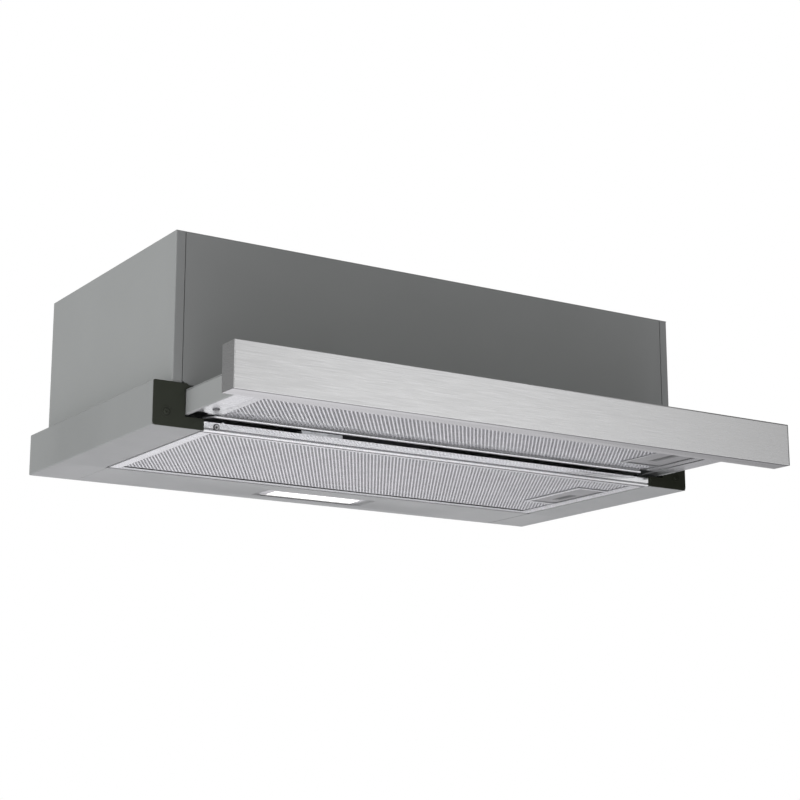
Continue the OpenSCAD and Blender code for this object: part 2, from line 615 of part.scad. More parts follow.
// screws through the rails' end tabs into the support
module fascia_screws() {
  color(zinc) at() for (x = [-257, 257], z = [20, 27])
    translate([x, -reach + strip_d + 1.2, z]) rotate([-90, 0, 0]) screw(3.0, 1.5, 1.5, 8);
}
module drawer_rail() {
  y0 = -reach + strip_d; y1 = 118;
  difference() {
    union() {
      box([-rail_x, y0, rail_z], [-rail_x + 1, y1, rail_z + rail_h]);
      box([-rail_x, y0, rail_z + rail_h - 0.8], [-rail_x + 14, y1, rail_z + rail_h]);
      // foot under the filter's edge, with a slanted rear corner, and the narrow fold behind it
      translate([0, 0, rail_z]) linear_extrude(0.8) polygon([[-rail_x, df_y0], [-247.4, df_y0], [-247.4, -14.4], [-258, -16.5],
        [-262.5, -24], [-rail_x + 3, -24], [-rail_x + 3, y1], [-rail_x, y1]]);
      // end tab on the front strip's support
      box([-rail_x, y0, rail_z + 2.4], [-251, y0 + 1.2, rail_z + rail_h]);
      // running pad at the rear end
      box([-rail_x - 1.2, y1 - 50, rail_z - 0.7], [-rail_x + e, y1, rail_z + rail_h + 0.9]);
    }
    for (z = [20, 27]) translate([-257, y0 - 1, z]) rotate([-90, 0, 0]) cylinder(r = 1.6, h = 4, $fn = 24);
    translate([-255, -33, rail_z - 1]) cylinder(r = 1.6, h = 3, $fn = 24);
  }
}
module drawer_left_rail() { color(steel) at() drawer_rail(); }
module drawer_right_rail() { color(steel) at() right() drawer_rail(); }
module drawer_rail_screw() {
  color(zinc) at() translate([-255, -33, rail_z]) rotate([180, 0, 0]) screw(3.2, 1.7, 1.5, 5);
}
module drawer_cover() {
  y0 = -reach + strip_d;
  color(steel) at() union() {
    box([-rail_x, y0 + 1.4, rail_z + rail_h], [rail_x, 10, rail_z + rail_h + 0.8]);
    box([-rail_x + 20, 9.2, rail_z + rail_h - 6], [rail_x - 20, 10, rail_z + rail_h + 0.8]);
  }
}
// bright lip along the drawer's back edge
module drawer_back_rail() {
  color(alu) at() difference() {
    union() {
      // lip with pointed ends that reach back beside the bar
      translate([0, 0, rail_z + 0.8]) linear_extrude(1) polygon([[-239.2, -1.4], [239.2, -1.4], [246.2, 10.6], [244.6, 10.9],
        [239, 2.2], [-239, 2.2], [-244.6, 10.9], [-246.2, 10.6]]);
      box([-239, 1.2, rail_z + 1.0], [239, 2.2, rail_z + 8]);
      box([-rail_x + 1, 1.2, rail_z + 4.8], [rail_x - 1, 2.2, rail_z + 8]);
      both() box([-rail_x + 1, 1.2, rail_z + 6.8], [-rail_x + 9, 8, rail_z + 8]);
      // ear for the filter's rear pivot
      box([-247, df_y1 + 0.8, rail_z + 2.6], [-240.4, df_y1 + 1.6, df_pz + 3]);
      box([-247, df_y1 + 0.8, df_pz + 1.8], [-240.4, 1.3, df_pz + 3]);
    }
    translate([df_px, df_y1, df_pz]) rotate([-90, 0, 0]) cylinder(r = pivot_r + 0.05, h = 4, $fn = 32);
  }
}

left_side_panel();
right_side_panel();
front_panel();
rear_panel();
top_panel();
tray_left_rail();
tray_right_rail();
tray_rear_rail();
left_corner_cap();
right_corner_cap();
corner_cap_screws();
front_crossbar();
crossbar_screw();
centre_glide();
left_drawer_guide();
right_drawer_guide();
guide_pads();
lamp_housing();
lamp_lens();
lamp_led_board();
blower_scroll();
blower_left_cover();
blower_right_cover();
inlet_rings();
blower_screws();
motor();
motor_bracket();
fan_wheel();
fan_shaft();
outlet_collar();
collar_screws();
flap_pins();
left_flap();
right_flap();
terminal_box();
terminal_box_lid();
cable_gland();
capacitor();
control_housing();
control_board();
light_button();
off_button();
speed_1_button();
speed_2_button();
speed_3_button();
main_filter_frame();
main_filter_mesh();
main_filter_back_mesh();
main_filter_latch();
fascia();
fascia_support();
fascia_screws();
drawer_left_rail();
drawer_right_rail();
drawer_cover();
drawer_back_rail();
drawer_rail_screw();
drawer_filter_frame();
drawer_filter_mesh();
drawer_filter_latch();
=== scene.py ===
import bpy, bmesh, json, math
from math import sin, cos, pi, sqrt, atan2
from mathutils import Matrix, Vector

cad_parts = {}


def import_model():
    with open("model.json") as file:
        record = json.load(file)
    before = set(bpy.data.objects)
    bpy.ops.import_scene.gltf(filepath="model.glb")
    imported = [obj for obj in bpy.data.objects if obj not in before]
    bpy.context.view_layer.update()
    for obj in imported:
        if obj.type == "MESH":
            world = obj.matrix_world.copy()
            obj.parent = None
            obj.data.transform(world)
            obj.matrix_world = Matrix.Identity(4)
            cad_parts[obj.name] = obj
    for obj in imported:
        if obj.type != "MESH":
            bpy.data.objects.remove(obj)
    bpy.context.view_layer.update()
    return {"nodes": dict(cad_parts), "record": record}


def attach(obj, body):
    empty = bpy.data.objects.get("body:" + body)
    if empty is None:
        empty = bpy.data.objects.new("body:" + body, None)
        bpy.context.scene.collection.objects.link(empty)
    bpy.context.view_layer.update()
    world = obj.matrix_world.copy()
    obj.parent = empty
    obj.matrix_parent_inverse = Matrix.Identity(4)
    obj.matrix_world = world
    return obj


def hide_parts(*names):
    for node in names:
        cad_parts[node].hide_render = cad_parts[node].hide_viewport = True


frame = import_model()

YF = -65.0   # the tray's front face, mm


def M(x, y, z):
    return (x / 1000.0, (y + YF) / 1000.0, z / 1000.0)


# ---------------------------------------------------------------- materials
def new_mat(name):
    m = bpy.data.materials.new(name)
    m.use_nodes = True
    nt = m.node_tree
    nt.nodes.clear()
    out = nt.nodes.new("ShaderNodeOutputMaterial")
    b = nt.nodes.new("ShaderNodeBsdfPrincipled")
    nt.links.new(b.outputs[0], out.inputs[0])
    return m, nt, b


def N(nt, kind, **kw):
    n = nt.nodes.new(kind)
    for k, v in kw.items():
        if k.startswith("i_"):
            key = k[2:]
            key = int(key) if key.isdigit() else key.replace("_", " ")
            n.inputs[key].default_value = v
        else:
            setattr(n, k, v)
    return n


def coords(nt, scale=(1, 1, 1)):
    tc = N(nt, "ShaderNodeTexCoord")
    mp = N(nt, "ShaderNodeMapping")
    mp.inputs["Scale"].default_value = scale
    nt.links.new(tc.outputs["Object"], mp.inputs["Vector"])
    return mp.outputs["Vector"]


def noise(nt, vec, scale, detail=3.0, rough=0.5):
    n = N(nt, "ShaderNodeTexNoise")
    n.inputs["Scale"].default_value = scale
    n.inputs["Detail"].default_value = detail
    n.inputs["Roughness"].default_value = rough
    nt.links.new(vec, n.inputs["Vector"])
    return n.outputs["Fac"]


def remap(nt, val, a, b, lo=0.3, hi=0.7):
    r = N(nt, "ShaderNodeMapRange")
    r.inputs["From Min"].default_value = lo
    r.inputs["From Max"].default_value = hi
    r.inputs["To Min"].default_value = a
    r.inputs["To Max"].default_value = b
    nt.links.new(val, r.inputs["Value"])
    return r.outputs["Result"]


def ramp2(nt, val, c0, c1, lo=0.3, hi=0.7):
    r = N(nt, "ShaderNodeValToRGB")
    r.color_ramp.elements[0].position = lo
    r.color_ramp.elements[0].color = (*c0, 1)
    r.color_ramp.elements[1].position = hi
    r.color_ramp.elements[1].color = (*c1, 1)
    nt.links.new(val, r.inputs["Fac"])
    return r.outputs["Color"]


def bump(nt, bsdf, val, strength, dist, prev=None):
    b = N(nt, "ShaderNodeBump")
    b.inputs["Strength"].default_value = strength
    b.inputs["Distance"].default_value = dist
    nt.links.new(val, b.inputs["Height"])
    if prev is not None:
        nt.links.new(prev, b.inputs["Normal"])
    nt.links.new(b.outputs["Normal"], bsdf.inputs["Normal"])
    return b.outputs["Normal"]


def edge_wear_and_highlight(nt, col_socket, light, lo=0.52, hi=0.62, amount=0.5):
    """lighter rubbed edges, from the mesh's own curvature; on the caps also a painted highlight"""
    g = N(nt, "ShaderNodeNewGeometry")
    f = remap(nt, g.outputs["Pointiness"], 0.0, amount, lo, hi)
    mix = N(nt, "ShaderNodeMix", data_type="RGBA")
    nt.links.new(f, mix.inputs["Factor"])
    nt.links.new(col_socket, mix.inputs["A"])
    mix.inputs["B"].default_value = (*light, 1)
    return mix.outputs["Result"]


def mat_paint():
    m, nt, b = new_mat("body_paint_look")
    v = coords(nt)
    big = noise(nt, v, 9.0, 3.0)
    fine = noise(nt, v, 1400.0, 2.0)
    col = ramp2(nt, big, (0.315, 0.323, 0.321), (0.345, 0.353, 0.351))
    col = edge_wear_and_highlight(nt, col, (0.47, 0.48, 0.475))
    # painted shade: a dark line in the seam between the rear rail and the right rail
    sp = N(nt, "ShaderNodeSeparateXYZ")
    nt.links.new(v, sp.inputs[0])
    seam = both(nt, band(nt, sp.outputs["X"], SEAM_X - 0.00055, SEAM_X + 0.00055, 0.00015), band(nt, sp.outputs["Z"], -0.001, 0.0009, 0.0001))
    seam = both(nt, seam, remap(nt, sp.outputs["Y"], 0.0, 1.0, 0.1375, 0.1380))
    col = blend(nt, seam, col, (0.10, 0.10, 0.10))
    nt.links.new(col, b.inputs["Base Color"])
    b.inputs["Metallic"].default_value = 0.0
    b.inputs["Specular IOR Level"].default_value = 0.22
    smudge = noise(nt, coords(nt, (1, 1, 2.2)), 22.0, 5.0, 0.6)
    nt.links.new(remap(nt, smudge, 0.42, 0.54), b.inputs["Roughness"])
    peel = noise(nt, v, 420.0, 2.0)
    n1 = bump(nt, b, peel, 0.05, 0.0004)
    bump(nt, b, fine, 0.06, 0.0001, n1)
    return m


def mat_fascia():
    m, nt, b = new_mat("brushed_front_look")
    v = coords(nt, (1.0, 60.0, 60.0))
    st = noise(nt, v, 26.0, 6.0, 0.62)
    v2 = coords(nt, (4.0, 420.0, 420.0))
    st2 = noise(nt, v2, 9.0, 3.0, 0.7)
    col = ramp2(nt, st, (0.665, 0.665, 0.67), (0.70, 0.70, 0.705))
    # painted shade: a dark line just behind the folded sheet's lower edge, where it ends
    sp = N(nt, "ShaderNodeSeparateXYZ")
    nt.links.new(coords(nt), sp.inputs[0])
    seam = N(nt, "ShaderNodeMath", operation="MULTIPLY")
    nt.links.new(remap(nt, sp.outputs["Y"], 1.0, 0.0, -0.2122, -0.2114), seam.inputs[0])
    nt.links.new(remap(nt, sp.outputs["Z"], 1.0, 0.0, 0.00206, 0.00212), seam.inputs[1])
    mixc = N(nt, "ShaderNodeMix", data_type="RGBA")
    nt.links.new(seam.outputs[0], mixc.inputs["Factor"])
    nt.links.new(col, mixc.inputs["A"])
    mixc.inputs["B"].default_value = (0.16, 0.16, 0.165, 1)
    # painted shade: the underside a little darker, the top fold darker towards the right end, and the rounded right
    # front edge dark
    under = both(nt, remap(nt, sp.outputs["Y"], 0.0, 0.30, -0.2114, -0.2110), remap(nt, sp.outputs["Z"], 1.0, 0.0, 0.0021, 0.0024))
    fold = both(nt, remap(nt, sp.outputs["Z"], 0.0, 0.9, 0.0406, 0.0411), remap(nt, sp.outputs["X"], 0.0, 1.0, 0.0, 0.20))
    side = both(nt, remap(nt, sp.outputs["X"], 0.0, 0.90, 0.2974, 0.2979), remap(nt, sp.outputs["Y"], 1.0, 0.0, -0.2142, -0.2138))
    c2 = blend(nt, under, mixc.outputs["Result"], (0.30, 0.30, 0.305))
    c2 = blend(nt, fold, c2, (0.10, 0.10, 0.10))
    c2 = blend(nt, side, c2, (0.10, 0.10, 0.10))
    nt.links.new(c2, b.inputs["Base Color"])
    b.inputs["Metallic"].default_value = 1.0
    nt.links.new(remap(nt, st2, 0.24, 0.36), b.inputs["Roughness"])
    b.inputs["Anisotropic"].default_value = 0.55
    n1 = bump(nt, b, st, 0.012, 0.0001)
    bump(nt, b, st2, 0.05, 0.00005, n1)
    return m


def band(nt, val, lo, hi, soft=0.0003):
    """1 between lo and hi, 0 outside"""
    k = N(nt, "ShaderNodeMath", operation="MULTIPLY")
    nt.links.new(remap(nt, val, 0.0, 1.0, lo - soft, lo + soft), k.inputs[0])
    nt.links.new(remap(nt, val, 1.0, 0.0, hi - soft, hi + soft), k.inputs[1])
    return k.outputs[0]


def both(nt, a, c):
    k = N(nt, "ShaderNodeMath", operation="MULTIPLY")
    nt.links.new(a, k.inputs[0])
    nt.links.new(c, k.inputs[1])
    return k.outputs[0]


def blend(nt, fac, a, c):
    """colour a, going over to the plain colour c where fac is 1"""
    k = N(nt, "ShaderNodeMix", data_type="RGBA")
    nt.links.new(fac, k.inputs["Factor"])
    nt.links.new(a, k.inputs["A"])
    k.inputs["B"].default_value = (c[0], c[1], c[2], 1)
    return k.outputs["Result"]


def tone_x(nt, col, x0, x1, a, c):
    """multiplies a colour by a at x0, going over to c at x1: painted light and shade across a part"""
    sp = N(nt, "ShaderNodeSeparateXYZ")
    nt.links.new(coords(nt), sp.inputs[0])
    v = N(nt, "ShaderNodeVectorMath", operation="SCALE")
    nt.links.new(col, v.inputs[0])
    nt.links.new(remap(nt, sp.outputs["X"], a, c, x0, x1), v.inputs["Scale"])
    return v.outputs[0]


def mat_alu(name="bright_aluminium_look", c0=(0.60, 0.605, 0.615), c1=(0.69, 0.695, 0.71), metallic=0.5, right=None):
    m, nt, b = new_mat(name)
    v = coords(nt, (1.0, 30.0, 30.0))
    st = noise(nt, v, 60.0, 5.0, 0.6)
    blot = noise(nt, coords(nt), 28.0, 4.0)
    col = ramp2(nt, blot, c0, c1)
    # painted shade: darker towards the right end, by the factor right
    if right:
        col = tone_x(nt, col, -0.10, 0.20, 1.0, right)
    nt.links.new(col, b.inputs["Base Color"])
    b.inputs["Metallic"].default_value = metallic
    nt.links.new(remap(nt, st, 0.22, 0.36), b.inputs["Roughness"])
    bump(nt, b, st, 0.05, 0.0001)
    return m


SEAM_X = 0.25005


def mat_mesh(name="filter_mesh_look", fold=False):
    m, nt, b = new_mat(name)
    v = coords(nt)
    blot = noise(nt, v, 45.0, 4.0)
    col = ramp2(nt, blot, (0.82, 0.82, 0.845), (0.93, 0.93, 0.955))
    if fold:
        # painted shade where the sheet turns down at its rear end
        sp = N(nt, "ShaderNodeSeparateXYZ")
        nt.links.new(v, sp.inputs[0])
        k = N(nt, "ShaderNodeVectorMath", operation="SCALE")
        nt.links.new(col, k.inputs[0])
        nt.links.new(remap(nt, sp.outputs["Y"], 1.0, 0.42, -0.0700, -0.0686), k.inputs["Scale"])
        col = k.outputs[0]
    nt.links.new(col, b.inputs["Base Color"])
    b.inputs["Metallic"].default_value = 0.55
    fine = noise(nt, v, 900.0, 3.0)
    nt.links.new(remap(nt, fine, 0.26, 0.42), b.inputs["Roughness"])
    bump(nt, b, fine, 0.10, 0.0001)
    return m


def mat_pack_shade(name="filter_pack_look", right=1.0):
    # painted shade: near-black layers behind the perforated sheets stand in for the shade inside the filter; tone_x
    # lightens them towards the right by the factor right, a painted light
    m, nt, b = new_mat(name)
    v = coords(nt)
    blot = noise(nt, v, 60.0, 4.0)
    col = tone_x(nt, ramp2(nt, blot, (0.05, 0.05, 0.055), (0.09, 0.09, 0.098)), -0.20, 0.10, 1.0, right)
    nt.links.new(col, b.inputs["Base Color"])
    b.inputs["Metallic"].default_value = 0.7
    fine = noise(nt, v, 900.0, 3.0)
    nt.links.new(remap(nt, fine, 0.4, 0.6), b.inputs["Roughness"])
    bump(nt, b, fine, 0.12, 0.0001)
    return m


def mat_plastic(name, c0, c1, rough=(0.42, 0.55), grain=900.0, gstr=0.14, spec=0.5, metallic=0.0, wear=None):
    m, nt, b = new_mat(name)
    v = coords(nt)
    big = noise(nt, v, 16.0, 3.0)
    col = ramp2(nt, big, c0, c1)
    if wear:
        col = edge_wear_and_highlight(nt, col, wear)
    nt.links.new(col, b.inputs["Base Color"])
    b.inputs["Metallic"].default_value = metallic
    b.inputs["Specular IOR Level"].default_value = spec
    g = noise(nt, v, grain, 3.0, 0.6)
    r = noise(nt, v, 40.0, 4.0)
    nt.links.new(remap(nt, r, rough[0], rough[1]), b.inputs["Roughness"])
    bump(nt, b, g, gstr, 0.00025)
    return m


def mat_zinc():
    m, nt, b = new_mat("zinc_steel_look")
    v = coords(nt)
    vo = N(nt, "ShaderNodeTexVoronoi")
    vo.inputs["Scale"].default_value = 180.0
    nt.links.new(v, vo.inputs["Vector"])
    sep = N(nt, "ShaderNodeSeparateColor")
    nt.links.new(vo.outputs["Color"], sep.inputs[0])
    col = ramp2(nt, sep.outputs[0], (0.50, 0.51, 0.52), (0.64, 0.65, 0.665), 0.1, 0.9)
    nt.links.new(col, b.inputs["Base Color"])
    b.inputs["Metallic"].default_value = 0.9
    nt.links.new(remap(nt, sep.outputs[1], 0.30, 0.50, 0.0, 1.0), b.inputs["Roughness"])
    fine = noise(nt, v, 700.0, 3.0)
    bump(nt, b, fine, 0.08, 0.0001)
    return m


def mat_screw(name, centre, mask, r, dark=0.055, hub=1.0, head=1.0):
    """bright head; painted shade: dark towards the rim, where the head sits in its recess, and at the hub over the
    cross recess
    """
    m, nt, b = new_mat(name)
    v = coords(nt)
    f = noise(nt, v, 600.0, 4.0)
    base = ramp2(nt, f, (0.50 * head, 0.50 * head, 0.50 * head), (0.66 * head, 0.66 * head, 0.65 * head))
    d = N(nt, "ShaderNodeVectorMath", operation="SUBTRACT")
    nt.links.new(v, d.inputs[0])
    d.inputs[1].default_value = centre
    k = N(nt, "ShaderNodeVectorMath", operation="MULTIPLY")
    nt.links.new(d.outputs[0], k.inputs[0])
    k.inputs[1].default_value = mask
    ln = N(nt, "ShaderNodeVectorMath", operation="LENGTH")
    nt.links.new(k.outputs[0], ln.inputs[0])
    # painted shade: a dark ring towards the rim and a dark hub over the cross recess
    rim = remap(nt, ln.outputs["Value"], 0.0, 1.0, r * 0.00066, r * 0.00082)
    hub_shade = remap(nt, ln.outputs["Value"], hub, 0.0, r * 0.00022, r * 0.00040)
    mx = N(nt, "ShaderNodeMath", operation="MAXIMUM")
    nt.links.new(rim, mx.inputs[0])
    nt.links.new(hub_shade, mx.inputs[1])
    mix = N(nt, "ShaderNodeMix", data_type="RGBA")
    nt.links.new(mx.outputs[0], mix.inputs["Factor"])
    nt.links.new(base, mix.inputs["A"])
    mix.inputs["B"].default_value = (dark, dark, dark * 1.05, 1)
    nt.links.new(mix.outputs["Result"], b.inputs["Base Color"])
    nt.links.new(remap(nt, mx.outputs[0], 0.85, 0.35, 0.0, 1.0), b.inputs["Metallic"])
    nt.links.new(remap(nt, f, 0.22, 0.38), b.inputs["Roughness"])
    bump(nt, b, f, 0.12, 0.0001)
    return m


def mat_bar():
    """extruded aluminium, drawn smooth along its length"""
    m, nt, b = new_mat("bar_aluminium_look")
    v = coords(nt, (1.0, 90.0, 90.0))
    st = noise(nt, v, 14.0, 4.0, 0.5)
    blot = noise(nt, coords(nt), 20.0, 3.0)
    col = ramp2(nt, blot, (0.93, 0.935, 0.945), (0.97, 0.975, 0.985))
    # painted shade in the hollow of the face, in the recess below and along the bottom edge
    sp = N(nt, "ShaderNodeSeparateXYZ")
    nt.links.new(coords(nt), sp.inputs[0])
    z_in = N(nt, "ShaderNodeMath", operation="MULTIPLY")
    nt.links.new(remap(nt, sp.outputs["Z"], 0.0, 1.0, 0.0016, 0.0020), z_in.inputs[0])
    nt.links.new(remap(nt, sp.outputs["Z"], 1.0, 0.0, 0.0029, 0.0034), z_in.inputs[1])
    y_in = N(nt, "ShaderNodeMath", operation="MULTIPLY")
    nt.links.new(remap(nt, sp.outputs["Y"], 0.0, 1.0, -0.0624, -0.0620), y_in.inputs[0])
    nt.links.new(remap(nt, sp.outputs["Z"], 1.0, 0.0, 0.0010, 0.0014), y_in.inputs[1])
    mx0 = N(nt, "ShaderNodeMath", operation="MAXIMUM")
    nt.links.new(z_in.outputs[0], mx0.inputs[0])
    nt.links.new(y_in.outputs[0], mx0.inputs[1])
    mxx = N(nt, "ShaderNodeMath", operation="MAXIMUM")
    nt.links.new(mx0.outputs[0], mxx.inputs[0])
    nt.links.new(remap(nt, sp.outputs["Z"], 0.5, 0.0, 0.0001, 0.0003), mxx.inputs[1])
    mixc = N(nt, "ShaderNodeMix", data_type="RGBA")
    nt.links.new(mxx.outputs[0], mixc.inputs["Factor"])
    nt.links.new(col, mixc.inputs["A"])
    mixc.inputs["B"].default_value = (0.40, 0.40, 0.41, 1)
    nt.links.new(mixc.outputs["Result"], b.inputs["Base Color"])
    b.inputs["Metallic"].default_value = 0.80
    nt.links.new(remap(nt, st, 0.07, 0.13), b.inputs["Roughness"])
    bump(nt, b, st, 0.012, 0.00004)
    return m


def mat_lamp():
    m, nt, b = new_mat("lamp_glow_look")
    v = coords(nt, (1, 1, 1))
    w = N(nt, "ShaderNodeTexWave", wave_type="BANDS", bands_direction="X")
    w.inputs["Scale"].default_value = 120.0
    w.inputs["Distortion"].default_value = 0.0
    nt.links.new(v, w.inputs["Vector"])
    # clear window over the diodes, greyish frosted border round it
    sp = N(nt, "ShaderNodeSeparateXYZ")
    nt.links.new(v, sp.inputs[0])
    lit = both(nt, band(nt, sp.outputs["X"], -0.0485, 0.0529, 0.0004), band(nt, sp.outputs["Y"], 0.1716, 0.1925, 0.0004))
    g = noise(nt, v, 300.0, 3.0)
    nt.links.new(blend(nt, lit, ramp2(nt, g, (0.50, 0.50, 0.51), (0.56, 0.56, 0.57)), (0.95, 0.95, 0.93)), b.inputs["Base Color"])
    nt.links.new(remap(nt, w.outputs["Fac"], 0.25, 0.4, 0.0, 1.0), b.inputs["Roughness"])
    b.inputs["Emission Color"].default_value = (1.0, 0.985, 0.95, 1)
    nt.links.new(remap(nt, lit, 0.0, 1.6, 0.0, 1.0), b.inputs["Emission Strength"])
    bump(nt, b, w.outputs["Fac"], 0.15, 0.0002)
    return m


def mat_lamp_rim():
    """grey rim; painted shade: a dark band on the wall behind the lens, light grey above it"""
    m, nt, b = new_mat("lamp_rim_look")
    v = coords(nt)
    g = noise(nt, v, 60.0, 3.0)
    sp = N(nt, "ShaderNodeSeparateXYZ")
    nt.links.new(v, sp.inputs[0])
    # painted shade: the wall behind the lens dark below 0.6 mm height; above 1 mm it is light grey
    rear = remap(nt, sp.outputs["Y"], 0.0, 1.0, 0.1905, 0.1912)
    rear = both(nt, rear, band(nt, sp.outputs["X"], -0.0545, 0.0570, 0.0005))
    col = blend(nt, rear, ramp2(nt, g, (0.33, 0.335, 0.335), (0.37, 0.375, 0.375)), (0.05, 0.05, 0.05))
    col = blend(nt, both(nt, rear, remap(nt, sp.outputs["Z"], 0.0, 1.0, 0.0006, 0.0010)), col, (0.80, 0.80, 0.80))
    nt.links.new(col, b.inputs["Base Color"])
    b.inputs["Specular IOR Level"].default_value = 0.2
    nt.links.new(remap(nt, g, 0.42, 0.54), b.inputs["Roughness"])
    bump(nt, b, noise(nt, v, 600.0, 3.0), 0.08, 0.0001)
    return m


def mat_pcb():
    m, nt, b = new_mat("circuit_board_look")
    v = coords(nt)
    br = N(nt, "ShaderNodeTexBrick")
    br.inputs["Scale"].default_value = 160.0
    br.inputs["Color1"].default_value = (0.02, 0.20, 0.085, 1)
    br.inputs["Color2"].default_value = (0.025, 0.26, 0.11, 1)
    br.inputs["Mortar"].default_value = (0.07, 0.42, 0.2, 1)
    br.inputs["Mortar Size"].default_value = 0.03
    nt.links.new(v, br.inputs["Vector"])
    nt.links.new(br.outputs["Color"], b.inputs["Base Color"])
    f = noise(nt, v, 300.0, 3.0)
    nt.links.new(remap(nt, f, 0.22, 0.38), b.inputs["Roughness"])
    bump(nt, b, br.outputs["Fac"], 0.2, 0.0001)
    return m


def mat_cap():
    """grained plastic; painted shade: the right cap far darker than the left one"""
    m, nt, b = new_mat("cap_plastic_look")
    v = coords(nt)
    big = noise(nt, v, 16.0, 3.0)
    c_l = ramp2(nt, big, (0.040, 0.045, 0.033), (0.050, 0.055, 0.042))
    # painted shade: the right cap's colour, about a quarter of the left one's
    c_r = ramp2(nt, big, (0.008, 0.010, 0.004), (0.013, 0.015, 0.007))
    sp = N(nt, "ShaderNodeSeparateXYZ")
    nt.links.new(v, sp.inputs[0])
    mix = N(nt, "ShaderNodeMix", data_type="RGBA")
    nt.links.new(remap(nt, sp.outputs["X"], 0.0, 1.0, -0.25, 0.25), mix.inputs["Factor"])
    nt.links.new(c_l, mix.inputs["A"])
    nt.links.new(c_r, mix.inputs["B"])
    # painted highlight and wear: lighter edges, which also draw the light line along the right cap's step
    col = edge_wear_and_highlight(nt, mix.outputs["Result"], (0.08, 0.085, 0.07))
    nt.links.new(col, b.inputs["Base Color"])
    b.inputs["Specular IOR Level"].default_value = 0.14
    g = noise(nt, v, 650.0, 3.0, 0.6)
    r = noise(nt, v, 40.0, 4.0)
    nt.links.new(remap(nt, r, 0.42, 0.54), b.inputs["Roughness"])
    bump(nt, b, g, 0.2, 0.00025)
    return m


MATS = {
    "lip_bright": mat_alu("lip_look", (0.95, 0.955, 0.965), (0.97, 0.975, 0.985), 0.5),
    "body_paint": mat_paint(),
    "brushed_front": mat_fascia(),
    "bright_aluminium": mat_alu(),
    "filter_mesh": mat_mesh(),
    "filter_pack": mat_pack_shade(),
    "main_pack": mat_pack_shade("main_pack_look", 3.0),
    "drawer_mesh": mat_mesh("drawer_mesh_look", True),
    "drawer_pack": mat_pack_shade("drawer_pack_look", 4.5),
    # painted shade: the border's colour falls to 0.64 towards its right end
    "drawer_border": mat_alu("drawer_border_look", (0.54, 0.545, 0.555), (0.62, 0.625, 0.64), 0.5, 0.64),
    "latch_plate": mat_plastic("latch_plate_look", (0.30, 0.30, 0.305), (0.36, 0.36, 0.365), (0.36, 0.5), 700.0, 0.08, metallic=0.3),
    "zinc_steel": mat_zinc(),
    "screw_steel": mat_screw("crossbar_screw_look", M(-237.7, 0, 4.5), (1, 0, 1), 3.0),
    "rail_screw_steel": mat_screw("rail_screw_look", M(-255, -33, 12.4), (1, 1, 0), 3.2, 0.12, 1.0, 0.5),
    "bar_aluminium": mat_bar(),
    # painted shade: the foot plates' colour falls to 0.85 towards the right one
    "foot_plate": mat_alu("foot_plate_look", (0.57, 0.575, 0.585), (0.65, 0.655, 0.665), 0.7, 0.85),
    "cap_plastic": mat_cap(),
    "black_plastic": mat_plastic("black_plastic_look", (0.018, 0.018, 0.018), (0.028, 0.028, 0.028), (0.38, 0.52), 800.0, 0.16),
    "blower_plastic": mat_plastic("blower_plastic_look", (0.050, 0.052, 0.056), (0.068, 0.070, 0.074), (0.42, 0.56), 500.0, 0.16),
    "motor_metal": mat_plastic("motor_metal_look", (0.26, 0.27, 0.28), (0.36, 0.37, 0.38), (0.35, 0.5), 350.0, 0.08, metallic=0.8),
    "white_plastic": mat_plastic("white_plastic_look", (0.74, 0.74, 0.72), (0.80, 0.80, 0.785), (0.36, 0.48), 800.0, 0.1),
    "lamp_glow": mat_lamp(),
    "lamp_rim": mat_lamp_rim(),
    "circuit_board": mat_pcb(),
    "button_plastic": mat_plastic("button_plastic_look", (0.50, 0.50, 0.50), (0.56, 0.56, 0.555), (0.25, 0.36), 900.0, 0.06, metallic=0.4),
}


def set_mat(ob, m):
    ob.data.materials.clear()
    ob.data.materials.append(m)


# ---------------------------------------------------------------- mesh tools
def obj(name, verts, faces, slot, body, replaces=(), smooth=True, mat=None, angle=35.0):
    me = bpy.data.meshes.new(name)
    me.from_pydata(verts, [], faces)
    me.validate()
    me.update()
    return wrap(name, me, slot, body, replaces, smooth, mat, angle)


def wrap(name, me, slot, body, replaces=(), smooth=True, mat=None, angle=35.0):
    ob = bpy.data.objects.new(name, me)
    bpy.context.scene.collection.objects.link(ob)
    bm = bmesh.new()
    bm.from_mesh(me)
    bmesh.ops.recalc_face_normals(bm, faces=bm.faces)
    lim = math.radians(angle)
    for f in bm.faces:
        f.smooth = smooth
    for e in bm.edges:
        if len(e.link_faces) == 2:
            e.smooth = e.calc_face_angle(0.0) < lim
    bm.to_mesh(me)
    bm.free()
    me.materials.append(mat or MATS[slot])
    flat_normals(ob)
    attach(ob, body)
    if replaces:
        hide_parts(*replaces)
    return ob


def flat_normals(ob):
    """large faces keep their own normal, the small rounded edges blend"""
    w = ob.modifiers.new("normals", "WEIGHTED_NORMAL")
    w.mode = "FACE_AREA"
    w.keep_sharp = True
    w.weight = 70


